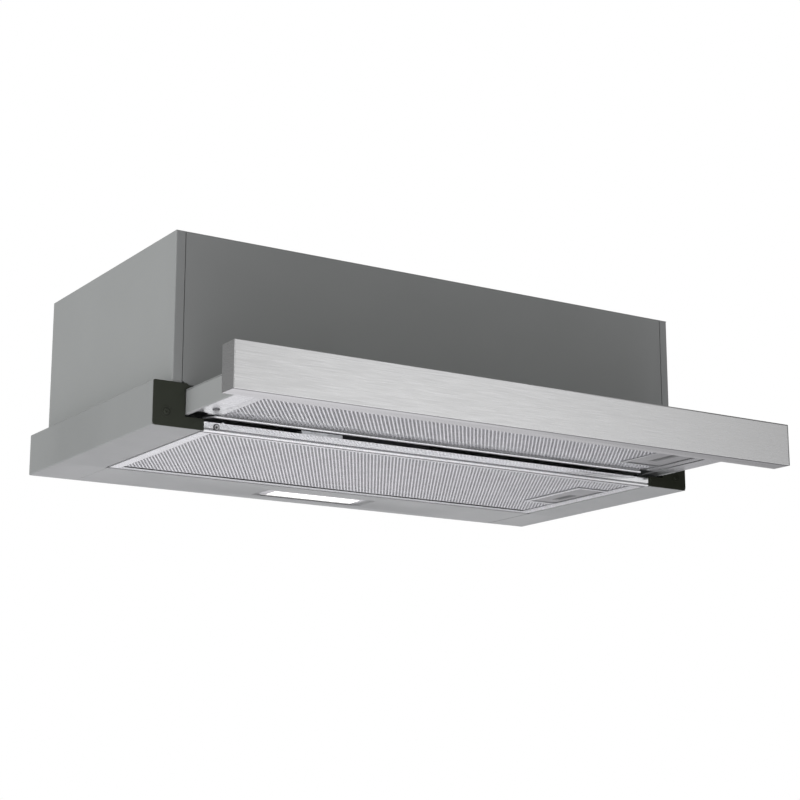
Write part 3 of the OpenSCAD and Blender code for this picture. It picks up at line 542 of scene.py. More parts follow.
class Builder:
    """collects several closed shapes into one mesh, in fit millimetres"""

    def __init__(self):
        self.v, self.f = [], []

    def add(self, verts, faces):
        o = len(self.v)
        self.v += [M(*p) for p in verts]
        self.f += [tuple(i + o for i in f) for f in faces]

    def box(self, a, b, ch=0.0):
        """block, its edges chamfered by ch"""
        bm = bmesh.new()
        bmesh.ops.create_cube(bm, size=1.0)
        for v in bm.verts:
            v.co = Vector([(a[i] + b[i]) / 2 + v.co[i] * (b[i] - a[i]) for i in range(3)])
        if ch > 0:
            bmesh.ops.bevel(bm, geom=bm.edges[:], offset=ch, segments=2, profile=0.7, affect="EDGES")
        bm.verts.ensure_lookup_table()
        bm.verts.index_update()
        self.add([tuple(v.co) for v in bm.verts], [[v.index for v in f.verts] for f in bm.faces])
        bm.free()

    def prism(self, pts, axis, a, b):
        """closed outline pts (two coordinates) extruded along an axis from a to b"""
        def P(p, t):
            return {"x": (t, p[0], p[1]), "y": (p[0], t, p[1]), "z": (p[0], p[1], t)}[axis]
        n = len(pts)
        vs = [P(p, a) for p in pts] + [P(p, b) for p in pts]
        fs = [(i, (i + 1) % n, n + (i + 1) % n, n + i) for i in range(n)]
        fs.append(tuple(range(n - 1, -1, -1)))
        fs.append(tuple(range(n, 2 * n)))
        self.add(vs, fs)

    def make(self, name, slot, body, replaces=(), **k):
        return obj(name, self.v, self.f, slot, body, replaces, **k)


def arc_path(path, rad, seg=5):
    """open path with its corners rounded by rad"""
    out = [path[0]]
    for i in range(1, len(path) - 1):
        p, q, r = Vector(path[i - 1]), Vector(path[i]), Vector(path[i + 1])
        u, w = (p - q).normalized(), (r - q).normalized()
        ang = u.angle(w)
        d = rad / math.tan(ang / 2)
        a, b = q + u * d, q + w * d
        c = q + (u + w).normalized() * (rad / sin(ang / 2))
        for k in range(seg + 1):
            t = k / seg
            m = a.lerp(b, t) - c
            out.append(tuple(c + m.normalized() * rad))
    out.append(path[-1])
    return out


def sheet_outline(path, t, rad, side=1, seg=5):
    """closed outline of a folded sheet whose outer surface follows path; side chooses where the thickness goes"""
    outer = arc_path(path, rad, seg)
    n = len(outer)
    inner = []
    for i, p in enumerate(outer):
        a = Vector(outer[max(i - 1, 0)])
        b = Vector(outer[min(i + 1, n - 1)])
        d = (b - a).normalized()
        nrm = Vector((-d.y, d.x)) * side
        k = 1.0
        inner.append(tuple(Vector(p) + nrm * t * k))
    return outer + inner[::-1]


def rrect(x0, x1, y0, y1, r, n=6):
    out = []
    for cx, cy, a0 in ((x1 - r, y1 - r, 0), (x0 + r, y1 - r, 90), (x0 + r, y0 + r, 180), (x1 - r, y0 + r, 270)):
        for k in range(n + 1):
            a = math.radians(a0 + 90 * k / n)
            out.append((cx + r * cos(a), cy + r * sin(a)))
    return out


def plate(loops, z0, z1, bev=0.25, plane="z"):
    """flat plate with holes from closed loops, edges rounded; returns verts and faces in fit millimetres"""
    cu = bpy.data.curves.new("tmp", "CURVE")
    cu.dimensions = "2D"
    cu.fill_mode = "BOTH"
    cu.resolution_u = 1
    for lp in loops:
        sp = cu.splines.new("POLY")
        sp.points.add(len(lp) - 1)
        for i, p in enumerate(lp):
            sp.points[i].co = (p[0], p[1], 0, 1)
        sp.use_cyclic_u = True
    cu.extrude = (z1 - z0) / 2 - bev
    cu.bevel_depth = bev
    cu.bevel_resolution = 1
    cu.offset = -bev
    ob = bpy.data.objects.new("tmp", cu)
    bpy.context.scene.collection.objects.link(ob)
    dg = bpy.context.evaluated_depsgraph_get()
    me = bpy.data.meshes.new_from_object(ob.evaluated_get(dg))
    bm = bmesh.new()
    bm.from_mesh(me)
    bmesh.ops.remove_doubles(bm, verts=bm.verts, dist=0.001)
    bm.verts.index_update()
    zc = (z0 + z1) / 2
    vs = []
    for v in bm.verts:
        x, y, z = v.co
        z += zc
        vs.append((x, y, z) if plane == "z" else ((x, z, y) if plane == "y" else (z, x, y)))
    fs = [[v.index for v in f.verts] for f in bm.faces]
    bm.free()
    bpy.data.objects.remove(ob)
    bpy.data.curves.remove(cu)
    bpy.data.meshes.remove(me)
    return vs, fs


def cad(node, bev=0.35, mat=None, seg=2):
    ob = bpy.data.objects[node] if node in bpy.data.objects else frame["nodes"][node]
    if mat is not None:
        set_mat(ob, mat)
    if bev > 0:
        w = ob.modifiers.new("weld", "WELD")
        w.merge_threshold = 0.00001
        b = ob.modifiers.new("bevel", "BEVEL")
        b.width = bev / 1000.0
        b.segments = seg
        b.limit_method = "ANGLE"
        b.angle_limit = math.radians(40)
        b.use_clamp_overlap = True
        b.harden_normals = False
        flat_normals(ob)
    elif bev == 0:
        w = ob.modifiers.new("weld", "WELD")
        w.merge_threshold = 0.00001
        d = ob.modifiers.new("planar", "DECIMATE")
        d.decimate_type = "DISSOLVE"
        d.angle_limit = math.radians(1.0)
        b = ob.modifiers.new("bevel", "BEVEL")
        b.width = 0.00025
        b.segments = 2
        b.limit_method = "ANGLE"
        b.angle_limit = math.radians(40)
        b.use_clamp_overlap = True
        flat_normals(ob)
    return ob


# every CAD node first gets its slot's look
rec = frame["record"]
slot_of = {s["node"]: s["material_slot"] for s in rec["subparts"]}
for n, s in slot_of.items():
    ob = bpy.data.objects.get(n)
    if ob is None:
        continue
    set_mat(ob, MATS[s])

# ---------------------------------------------------------------- folded sheet metal
T = 0.8
for sx, name in ((1, "left"), (-1, "right")):
    b = Builder()
    out = sheet_outline([(-281, 280), (-281, 0), (-272.1, 0)], T, 1.2, side=1, seg=6)
    b.prism([(sx * p[0], p[1]) for p in out], "z", 39.2, 176.2)
    for a, c in (((-280.2, 0.9, 39.2), (-271, 279.1, 40.0)), ((-280.2, 1.0, 175.4), (-269, 279.1, 176.2))):
        b.box((min(sx * a[0], sx * c[0]), a[1], a[2]), (max(sx * a[0], sx * c[0]), c[1], c[2]), 0.15)
    b.make(name + "_side_shell", "body_paint", "hood", (name + "_side_panel",))
    # tray rail: bottom, outer wall, ledge, joggle under the body
    b = Builder()
    out = sheet_outline([(-251.6, 8.6), (-251.6, 0), (-299, 0), (-299, 40), (-281.1, 40)], T, 1.1, side=-1, seg=5)
    b.prism([(sx * p[0], p[1]) for p in out], "y", 0, 202.9)
    out = sheet_outline([(-250.2, 0), (-299, 0), (-299, 40), (-281.1, 40)], T, 1.1, side=-1, seg=5)
    b.prism([(sx * p[0], p[1]) for p in out], "y", 202.9, 280)
    for a, c in (((-281.9, 0, 38.4), (-281.1, 279.1, 39.4)), ((-281.9, 0, 38.4), (-271, 279.1, 39.2))):
        b.box((min(sx * a[0], sx * c[0]), a[1], a[2]), (max(sx * a[0], sx * c[0]), c[1], c[2]), 0.12)
    b.make("tray_" + name + "_shell", "body_paint", "hood", ("tray_" + name + "_rail",))

# front strip: a pressed shell with soft corners, open at the back
def fascia():
    bm = bmesh.new()
    bmesh.ops.create_cube(bm, size=1.0)
    lo, hi = (-299, -150, 2), (299, -129, 42)
    for v in bm.verts:
        v.co = Vector([(lo[i] + hi[i]) / 2 + v.co[i] * (hi[i] - lo[i]) for i in range(3)])
    back = [f for f in bm.faces if all(abs(v.co.y + 129) < 1e-4 for v in f.verts)]
    edges = [e for e in bm.edges if not all(abs(v.co.y + 129) < 1e-4 for v in e.verts)]
    bmesh.ops.delete(bm, geom=back, context="FACES_ONLY")
    bmesh.ops.bevel(bm, geom=edges, offset=0.5, segments=3, profile=0.5, affect="EDGES")
    bmesh.ops.recalc_face_normals(bm, faces=bm.faces)
    # inner skin
    bm.verts.index_update()
    outer = [tuple(v.co) for v in bm.verts]
    fo = [[v.index for v in f.verts] for f in bm.faces]
    rim = [[v.index for v in e.verts] for e in bm.edges if len(e.link_faces) == 1]
    bm.free()
    n = len(outer)
    c = [0, -139.5, 22]
    def shrink(p):
        x = p[0] * (298.2 / 299.0)
        y = -129 if abs(p[1] + 129) < 1e-3 else -149.2 + (p[1] + 150) * (20.2 / 21.0)
        z = 22 + (p[2] - 22) * (19.2 / 20.0)
        return (x, y, z)
    inner = [shrink(p) for p in outer]
    fs = fo + [[i + n for i in reversed(f)] for f in fo] + [[a, bb, bb + n, a + n] for a, bb in rim]
    b = Builder()
    b.add(outer + inner, fs)
    b.make("front_strip", "brushed_front", "drawer", ("fascia",))
fascia()

# ---------------------------------------------------------------- corner caps
def arc(x, z, r, a0, n=8):
    return [(x + r * cos(math.radians(a0 + 90 * k / n)), z + r * sin(math.radians(a0 + 90 * k / n))) for k in range(n + 1)]


def cap(sx, name):
    b = Builder()
    x0, nx, nz, nb = 298.1, 268.5, 34.9, 10.4
    inner = [(-250.1, 0.15), (-250.1, nb), (-nx, nb), (-nx, nz), (-263.2, nz), (-263.2, nz + 1.7)]
    xi = -250.1 if sx > 0 else -252.3
    face = [(xi, 0.15), (xi, nb)] + inner[2:] + [(-267.6, 39.85)] + arc(-297.3, 38.35, 1.5, 90) + arc(-295.8, 3.15, 3.0, 180)
    plug = [(-252.7, 0.9), (-252.7, 8.8), (-250.1, 8.8)] + inner[1:] + [(-265, 38.3), (-282, 38.3), (-282, 39.1), (-x0, 39.1)] + arc(-x0 + 2.2, 0.9 + 2.2, 2.2, 180)
    hole = [(-286 + 1.5 * cos(2 * pi * k / 20), 12.8 + 1.5 * sin(2 * pi * k / 20)) for k in range(20)]
    for pts, y0, y1, bev in ((face, -1.0, 0.0, 0.3), (plug, -0.1, 2.4, 0.12)):
        vs, fs = plate([[(sx * q[0], q[1]) for q in pts], [(sx * q[0], q[1]) for q in hole]], y0, y1, bev, "y")
        b.add(vs, fs)

    def bx(a, c):
        b.box((min(sx * a[0], sx * c[0]), a[1], a[2]), (max(sx * a[0], sx * c[0]), c[1], c[2]), 0.2)
    bx((-x0, 2.3, 4.0), (-296.5, 11, 39.1))
    bx((-294, 2.3, 0.9), (-252.7, 11, 2.5))
    bx((-x0, 2.3, 37.5), (-282, 11, 39.1))
    bx((-nx - 1.6, 2.3, nb), (-nx, 11, 38.3))
    bx((-nx - 1.6, 2.3, nb - 1.6), (-250.15, 11, nb))
    if sx < 0:
        bx((-252.9, -0.15, 0.25), (-250.15, 2.3, 9.0))
    # raised ring round the screw
    ring = [[(sx * (-286 + q * cos(2 * pi * k / 32)), 12.8 + q * sin(2 * pi * k / 32)) for k in range(32)] for q in (4.8, 3.6)]
    vs, fs = plate(ring, -1.35, -0.9, 0.12, "y")
    b.add(vs, fs)
    b.make(name + "_cap_moulding", "cap_plastic", "hood", (name + "_corner_cap",))
cap(1, "left")
cap(-1, "right")

# ---------------------------------------------------------------- drawer's side rails
for sx, name in ((1, "left"), (-1, "right")):
    X = 267.8
    b = Builder()
    out = sheet_outline([(-X + 14, 33.6), (-X, 33.6), (-X, 12.4), (-X + 3, 12.4)], 0.95, 1.0, side=1, seg=5)
    b.prism([(sx * q[0], q[1]) for q in out], "y", -129, 118)

    def bx(a, c, ch=0.15):
        b.box((min(sx * a[0], sx * c[0]), a[1], a[2]), (max(sx * a[0], sx * c[0]), c[1], c[2]), ch)
    bx((-X + 0.5, -129, 14.8), (-251, -127.8, 33.4))
    bx((-X - 1.2, 68, 11.7), (-X + 0.3, 118, 34.5), 0.5)
    b.make("drawer_" + name + "_rail_shell", "body_paint", "drawer", ("drawer_" + name + "_rail",))
    b = Builder()
    foot = [(-X + 1.2, -116.6), (-247.4, -116.6), (-247.4, -14.4), (-258, -16.5), (-262.5, -24), (-X + 1.2, -24)]
    hole = [(-255 + 1.6 * cos(2 * pi * k / 20), -33 + 1.6 * sin(2 * pi * k / 20)) for k in range(20)]
    loops = [[(sx * q[0], q[1]) for q in foot], [(sx * q[0], q[1]) for q in hole]]
    vs, fs = plate(loops, 12.35, 13.2, 0.2)
    b.add(vs, fs)
    if sx < 0:
        b.box((246.9, -26.0, 12.4), (248.1, 6.0, 13.2), 0.2)
    b.make("drawer_" + name + "_rail_foot", "bright_aluminium", "drawer", ("drawer_" + name + "_rail",), mat=MATS["foot_plate"])

# rolled hem on the bright lip at the drawer's back
b = Builder()
hem = [(-0.62 + 0.95 * cos(math.radians(a)), 13.7 + 0.95 * sin(math.radians(a))) for a in range(90, 271, 12)]
b.prism(hem + [(1.6, 12.75), (1.6, 13.2), (1.6, 14.65)], "x", -239.2, 239.2)
b.make("drawer_lip_hem", "bright_aluminium", "drawer", (), mat=MATS["lip_bright"])

# ---------------------------------------------------------------- ribbed aluminium bar
def crossbar():
    b = Builder()
    pts = [(7.0, 0.25), (6.8, 0.0)]
    # underside with a shallow recess
    pts += [(6.1, 0.0), (6.0, 0.85), (3.0, 0.85), (2.9, 0.0), (0.9, 0.0)]
    # up the face: a low rib, a hollow and a broad rib
    pts += [(0.35, 0.1), (0.08, 0.35), (0.0, 0.7), (0.0, 1.35), (0.1, 1.6), (0.45, 1.75), (0.75, 2.05), (0.8, 2.4), (0.75, 2.8), (0.4, 3.05), (0.1, 3.2)]
    for k in range(9):
        t = k / 8
        pts.append((0.05 - 0.05 * sin(pi * t), 3.4 + 4.75 * t))
    pts += [(0.2, 8.4), (0.5, 8.6)]
    pts += [(6.8, 8.6), (7.0, 8.4), (7.0, 7.5), (1.7, 7.4), (1.7, 1.4), (7.0, 1.4)]
    b.prism(pts, "x", -249.8, 249.8)
    b.box((-232.4, 0.4, 8.45), (-229.6, 2.6, 9.4), 0.25)
    b.make("ribbed_bar", "bright_aluminium", "hood", ("front_crossbar",), angle=24, mat=MATS["bar_aluminium"])
    return pts
crossbar()


# ---------------------------------------------------------------- pan head screws with a cross recess
def screw_mesh(b, c, d, r, h, shank_r, shank_l, rot=0.0):
    """head centred on c, pointing along the unit axis d ('y-' or 'z-')"""
    rings, seg = 9, 48
    vs = []

    def place(x, y, z):
        if d == "y-":
            return (c[0] + x, c[1] - z, c[2] + y)
        return (c[0] + x, c[1] + y, c[2] - z)
    grid = []
    for i in range(rings + 1):
        rr = r * i / rings
        row = []
        for k in range(seg):
            a = 2 * pi * k / seg
            x, y = rr * cos(a), rr * sin(a)
            u = rr / r
            z = h * (1 - 0.42 * u ** 2.6)
            if i == rings:
                z = h * 0.30
            # cross recess
            xr, yr = x * cos(rot) - y * sin(rot), x * sin(rot) + y * cos(rot)
            w = r * 0.15
            arm = min(abs(xr), abs(yr))
            ln = max(abs(xr), abs(yr))
            if arm < w * 1.35 and ln < r * 0.58:
                k1 = min(1.0, (w * 1.35 - arm) / (w * 0.55))
                k2 = min(1.0, (r * 0.58 - ln) / (r * 0.18))
                z -= h * 0.62 * max(0.0, min(k1, k2))
            row.append(len(vs))
            vs.append(place(x, y, z))
        grid.append(row)
    row = []
    for k in range(seg):
        a = 2 * pi * k / seg
        row.append(len(vs))
        vs.append(place(r * cos(a), r * sin(a), 0.0))
    grid.append(row)
    row = []
    for k in range(seg):
        a = 2 * pi * k / seg
        row.append(len(vs))
        vs.append(place(shank_r * cos(a), shank_r * sin(a), 0.0))
    grid.append(row)
    row = []
    for k in range(seg):
        a = 2 * pi * k / seg
        row.append(len(vs))
        vs.append(place(shank_r * cos(a), shank_r * sin(a), -shank_l))
    grid.append(row)
    fs = []
    for i in range(1, len(grid) - 1):
        for k in range(seg):
            fs.append((grid[i][k], grid[i][(k + 1) % seg], grid[i + 1][(k + 1) % seg], grid[i + 1][k]))
    # centre fan: ring 0 is one point
    cidx = grid[0][0]
    for k in range(seg):
        fs.append((cidx, grid[1][(k + 1) % seg], grid[1][k]))
    fs.append(tuple(grid[-1]))
    # drop the unused copies of the centre point
    used = sorted({i for f in fs for i in f})
    mp = {o: i for i, o in enumerate(used)}
    b.add([vs[i] for i in used], [tuple(mp[i] for i in f) for f in fs])


b = Builder()
screw_mesh(b, (-237.7, 0, 4.5), "y-", 3.0, 1.1, 1.5, 6.8, 0.4)
b.make("crossbar_pan_screw", "screw_steel", "hood", ("crossbar_screw",), angle=60)
b = Builder()
screw_mesh(b, (-255, -33, 12.4), "z-", 3.2, 1.7, 1.5, 5, 0.7)
b.make("rail_pan_screw", "screw_steel", "drawer", ("drawer_rail_screw",), angle=60, mat=MATS["rail_screw_steel"])
b = Builder()
for sx in (-286, 286):
    screw_mesh(b, (sx, -1.0, 12.8), "y-", 2.8, 1.0, 1.5, 9, 0.2)
b.make("cap_pan_screws", "black_plastic", "hood", ("corner_cap_screws",), angle=60, mat=MATS["cap_plastic"])


# ---------------------------------------------------------------- filters
def frame_ring(b, x0, x1, y0, y1, prof, prof_front=None, prof_rear=None):
    """mitred ring: prof holds (inset, z) pairs of a closed outline, the others those of the front and rear side"""
    vs, fs = [], []
    n = len(prof)
    pf = prof_front or prof
    pr = prof_rear or prof
    for (u, z), (uf, zf), (ur, zr) in zip(prof, pf, pr):
        vs += [(x0 + u, y0 + uf, z), (x1 - u, y0 + uf, z), (x1 - u, y1 - ur, z), (x0 + u, y1 - ur, z)]
    for i in range(n):
        j = (i + 1) % n
        for k in range(4):
            l = (k + 1) % 4
            fs.append((4 * i + k, 4 * i + l, 4 * j + l, 4 * j + k))
    b.add(vs, fs)


def frame_u(b, x0, x1, y0, y1, prof):
    """the same channel on the left, front and right only, with square rear ends"""
    vs, fs = [], []
    n = len(prof)
    for u, z in prof:
        vs += [(x0 + u, y1, z), (x0 + u, y0 + u, z), (x1 - u, y0 + u, z), (x1 - u, y1, z)]
    for i in range(n):
        j = (i + 1) % n
        for k in range(3):
            fs.append((4 * i + k, 4 * i + k + 1, 4 * j + k + 1, 4 * j + k))
    fs.append(tuple(4 * i for i in range(n)))
    fs.append(tuple(4 * i + 3 for i in reversed(range(n))))
    b.add(vs, fs)


def frame_profile(z, t, w):
    return [(0.0, z + 0.9), (0.07, z + 0.45), (0.28, z + 0.14), (0.8, z + 0.0),
            (w - 3.0, z), (w - 2.75, z + 0.12), (w - 2.5, z + 0.3), (w - 0.55, z + 0.32), (w - 0.12, z + 0.48), (w, z + 0.8),
            (w - 0.1, z + 1.1), (w - 0.5, z + 1.25), (0.95, z + 1.25), (0.8, z + 1.4),
            (0.8, z + t - 1.2), (0.95, z + t - 1.05), (w - 0.4, z + t - 1.05), (w, z + t - 0.8), (w - 0.2, z + t - 0.1), (w - 0.6, z + t),
            (0.8, z + t), (0.25, z + t - 0.15), (0.0, z + t - 0.7)]


HEX = [(math.radians(30 + 60 * k)) for k in range(6)]


def ring_tris(n_in, ph):
    """triangles between six hexagon corners (0-5) and n_in hole points (6...)"""
    ins = [(ph + 2 * pi * k / n_in) for k in range(n_in)]
    outs = HEX
    tris = []
    i = j = 0
    # start with the inner point nearest the first corner
    j0 = min(range(n_in), key=lambda q: abs(((ins[q] - outs[0] + pi) % (2 * pi)) - pi))
    a_out = [outs[0] + 2 * pi * k / 6 for k in range(7)]
    base = ins[j0]
    while base - outs[0] > pi:
        base -= 2 * pi
    while base - outs[0] < -pi:
        base += 2 * pi
    a_in = [base + 2 * pi * k / n_in for k in range(n_in + 1)]
    while i < 6 or j < n_in:
        if j >= n_in or (i < 6 and a_out[i + 1] + 1e-9 < a_in[j + 1] + pi / n_in * 0.0):
            tris.append((i % 6, (i + 1) % 6, 6 + (j0 + j) % n_in))
            i += 1
        else:
            tris.append((i % 6, 6 + (j0 + j + 1) % n_in, 6 + (j0 + j) % n_in))
            j += 1
    return tris


def perforated(name, area, pitch, hole, zf, thick, slot, body, replaces, n_in=8, skip=None, mat=None, dish=0.10, pitch_y=None, warp=None):
    x0, x1, y0, y1 = area
    py = pitch_y or pitch * 0.866
    sy = py / (pitch * 0.866)
    nx = int((x1 - x0) / pitch)
    ny = int((y1 - y0) / py)
    ox = x0 + ((x1 - x0) - nx * pitch) / 2
    oy = y0 + ((y1 - y0) - ny * py) / 2
    ph = pi / n_in
    tris = ring_tris(n_in, ph)
    verts, faces, key = [], [], {}
    R = pitch / sqrt(3)

    def at(x, y, n):
        return M(*warp(x, y, n)) if warp else M(x, y, zf(x, y) + n)

    def hexv(cx, cy, k):
        x = cx + R * cos(HEX[k])
        y = cy + R * sin(HEX[k]) * sy
        q = (round(x * 40), round(y * 40))
        if q not in key:
            key[q] = len(verts)
            verts.append(at(x, y, 0.0))
        return key[q]
    for r in range(ny + 1):
        cy = oy + r * py
        off = 0.5 * pitch if r % 2 else 0.0
        for c in range(nx + (0 if r % 2 else 1)):
            cx = ox + c * pitch + off
            if skip and skip(cx, cy):
                continue
            idx = [hexv(cx, cy, k) for k in range(6)]
            base = len(verts)
            for k in range(n_in):
                a = ph + 2 * pi * k / n_in
                x, y = cx + hole * cos(a), cy + hole * sin(a) * sy
                verts.append(at(x, y, dish))
            for k in range(n_in):
                a = ph + 2 * pi * k / n_in
                x, y = cx + hole * 1.06 * cos(a), cy + hole * 1.06 * sin(a) * sy
                verts.append(at(x, y, thick))
            for t in tris:
                faces.append(tuple(idx[q] if q < 6 else base + q - 6 for q in t))
            for k in range(n_in):
                l = (k + 1) % n_in
                faces.append((base + k, base + l, base + n_in + l, base + n_in + k))
    me = bpy.data.meshes.new(name)
    me.from_pydata(verts, [], faces)
    me.update()
    for p in me.polygons:
        p.use_smooth = True
    ob = bpy.data.objects.new(name, me)
    bpy.context.scene.collection.objects.link(ob)
    bm = bmesh.new()
    bm.from_mesh(me)
    bmesh.ops.recalc_face_normals(bm, faces=bm.faces)
    # the ring faces look down
    down = sum(f.normal.z for f in bm.faces if abs(f.normal.z) > 0.7)
    if down > 0:
        bmesh.ops.reverse_faces(bm, faces=bm.faces)
    for e in bm.edges:
        if len(e.link_faces) == 2:
            e.smooth = e.calc_face_angle(0.0) < math.radians(50)
    bm.to_mesh(me)
    bm.free()
    me.materials.append(mat or MATS[slot])
    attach(ob, body)
    if replaces:
        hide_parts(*replaces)
    return ob


def latch_surround(b, p, w, z, t, x_edge):
    """sheet round the latch's window, and the walls of its pocket"""
    outer = rrect(p[0] - 1.6, x_edge, p[2] - 1.6, p[3] + 1.6, 1.6)
    inner = rrect(w[0], w[1], w[2], w[3], 1.4)
    vs, fs = plate([outer, inner], z + 0.12, z + 0.85, 0.2)
    b.add(vs, fs)
    for a, c in (((p[0] - 0.8, p[2] - 0.8, z + 0.8), (p[0], p[3] + 0.8, z + t - 0.4)),
                 ((p[0] - 0.8, p[2] - 0.8, z + 0.8), (p[1], p[2], z + t - 0.4)),
                 ((p[0] - 0.8, p[3], z + 0.8), (p[1], p[3] + 0.8, z + t - 0.4)),
                 ((p[0] - 0.8, p[2] - 0.8, z + t - 1.1), (p[1], p[3] + 0.8, z + t - 0.35))):
        b.box(a, c, 0.1)


def pivots(b, x, z, y0, y1, l, r=1.2):
    c = [(x + r * cos(2 * pi * k / 24), z + r * sin(2 * pi * k / 24)) for k in range(24)]
    b.prism(c, "y", y0 - l, y0 + 0.4)
    b.prism(c, "y", y1 - 0.4, y1 + l)


def latch_plate(name, p, slot, z, x1, tongue, body, node):
    b = Builder()
    outer = rrect(p[0] + 3.8, x1 - 2.2, p[2] + 0.4, p[3] - 0.4, 1.2)
    sl = rrect(slot[0] - 1.5, slot[1] + 1.5, slot[2] - 1.5, slot[3] + 1.5, 3.2)
    vs, fs = plate([outer, sl], z + 1.3, z + 2.5, 0.2)
    b.add(vs, fs)
    # dished rim down into the slot
    n = 7
    rings = []
    for off, zz in ((1.6, 1.3), (1.3, 1.25), (0.9, 1.05), (0.5, 1.1), (0.15, 1.5), (0.0, 2.2), (0.0, 5.0), (0.8, 5.0), (0.8, 2.4), (1.6, 2.4)):
        rr = 2.0 + off
        rings.append([(q[0], q[1], z + zz) for q in rrect(slot[0] - off, slot[1] + off, slot[2] - off, slot[3] + off, rr, n)])
    m = len(rings[0])
    vs = [q for r in rings for q in r]
    fs = []
    for i in range(len(rings)):
        j = (i + 1) % len(rings)
        for k in range(m):
            l = (k + 1) % m
            fs.append((i * m + k, i * m + l, j * m + l, j * m + k))
    b.add(vs, fs)
    # tongue
    b.box((x1 - 4, tongue[0], z + 1.3), (x1 + 0.6, tongue[1], z + 2.5), 0.25)
    # small ribs that guide the plate
    for y in (p[2] + 3.0, p[3] - 4.2):
        b.box((p[0] + 6, y, z + 2.4), (x1 - 6, y + 1.2, z + 3.6), 0.2)
    return b.make(name, "latch_plate", body, (node,))


# main filter
mp, mw = (201, 238, 51.5, 139.5), (204, 236.8, 52.6, 138.4)
b = Builder()
frame_ring(b, -249.2, 249.2, 7.8, 202.6, frame_profile(0.4, 8.0, 11.6), frame_profile(0.4, 8.0, 5.5), frame_profile(0.4, 8.0, 5.4))
latch_surround(b, mp, mw, 0.4, 8.0, 239.0)
pivots(b, -246.5, 4.4, 7.8, 202.6, 2.6)
b.make("main_filter_border", "bright_aluminium", "main_filter", ("main_filter_frame",))


def in_pocket(p, g=0.4):
    return lambda x, y: p[0] - g < x < 260 and p[2] - g < y < p[3] + g


def z_main(x, y):
    return 1.72 + 0.18 * sin(x / 39.0 + 0.6) * sin((y - 8) / 47.0)


perforated("main_filter_sheet", (-239.0, 239.0, 12.4, 192.4), 3.81, 1.42, z_main, 0.26, "filter_mesh", "main_filter",
           ("main_filter_mesh",), n_in=6, skip=in_pocket(mp, 2.0), pitch_y=3.09)
# the back mesh, coloured near black: painted shade seen through the front sheet's holes
perforated("main_filter_upper_sheet", (-238.0, 238.0, 19.0, 191.4), 6.0, 1.9, lambda x, y: 6.7, 0.6, "filter_mesh", "main_filter",
           ("main_filter_back_mesh",), n_in=6, skip=in_pocket(mp, 1.0), mat=MATS["main_pack"])
# painted shade: dark strips in the gap behind the filter's rear border
b = Builder()
b.box((-238.6, 190.6, 2.3), (238.6, 199.4, 2.9), 0.1)
b.box((-238.6, 198.6, 2.3), (238.6, 199.4, 6.4), 0.1)
b.make("main_filter_rear_gap_shade", "filter_mesh", "main_filter", (), mat=MATS["filter_pack"])
latch_plate("main_latch_plate", mp, (221, 229.5, 91, 122), 0.4, 249.2, (86, 106), "main_filter_latch", "main_filter_latch")

# drawer's filter
dy0, dy1 = -116.6, -2.2
dp, dw = (190, 237.4, -92.6, -31.4), (193, 236.6, -91.5, -32.5)
b = Builder()
frame_u(b, -246.4, 246.4, dy0, dy1 - 11.0, frame_profile(13.0, 7.2, 9.4))
# rear corners and rear border, raised above the mesh's fold
for a, c in (((-246.4, dy1 - 11.2, 15.6), (-245.6, dy1, 20.2)), ((245.6, dy1 - 11.2, 15.6), (246.4, dy1, 20.2)),
             ((-246.4, dy1 - 0.8, 15.6), (246.4, dy1, 20.2)), ((-246.4, dy1 - 4.5, 19.4), (246.4, dy1, 20.2)),
             ((-246.4, dy1 - 11.2, 19.4), (-237.0, dy1, 20.2)), ((237.0, dy1 - 11.2, 19.4), (246.4, dy1, 20.2))):
    b.box(a, c, 0.12)
latch_surround(b, dp, dw, 13.0, 7.2, 238.0)
pivots(b, -243.6, 17.0, dy0, dy1, 1.9)
b.make("drawer_filter_border", "bright_aluminium", "drawer_filter", ("drawer_filter_frame",), mat=MATS["drawer_border"])


def z_drawer(x, y):
    t = (y - dy0) / (dy1 - dy0)
    bow = -0.55 * sin(pi * min(1.0, t / 0.84)) if t < 0.84 else 2.0 * (t - 0.84) / 0.16
    return 14.4 + bow + 0.12 * sin(x / 31.0)


def fold_drawer(x, s, n):
    """the sheet's rear end folds down to the lip; n is the height above its underside"""
    s1, r, top = dy1 - 2.1, 1.2, 1.33
    if s <= s1:
        return (x, s, z_drawer(x, s) + n)
    a = min((s - s1) / r, top)
    rest = max(0.0, s - s1 - r * top)
    y = s1 + r * sin(a) + rest * cos(a)
    z = z_drawer(x, s1) - r * (1 - cos(a)) - rest * sin(a)
    return (x, y + n * sin(a), z + n * cos(a))


perforated("drawer_filter_sheet", (-237.6, 237.6, dy0 + 8.6, dy1 - 0.1), 4.15, 1.55, z_drawer, 0.26, "filter_mesh", "drawer_filter",
           ("drawer_filter_mesh",), skip=in_pocket(dp), pitch_y=2.97, warp=fold_drawer, mat=MATS["drawer_mesh"])
# a dark layer above the drawer's sheet: painted shade seen through its holes
perforated("drawer_filter_inner_layer", (-236.5, 236.5, dy0 + 10.0, dy1 - 7.0), 6.0, 1.9, lambda x, y: 18.3, 0.5, "filter_mesh", "drawer_filter",
           (), n_in=6, skip=in_pocket(dp, 1.0), mat=MATS["drawer_pack"])
latch_plate("drawer_latch_plate", dp, (210.5, 219.5, -86, -46), 13.0, 246.4, (-70, -54), "drawer_filter_latch", "drawer_filter_latch")

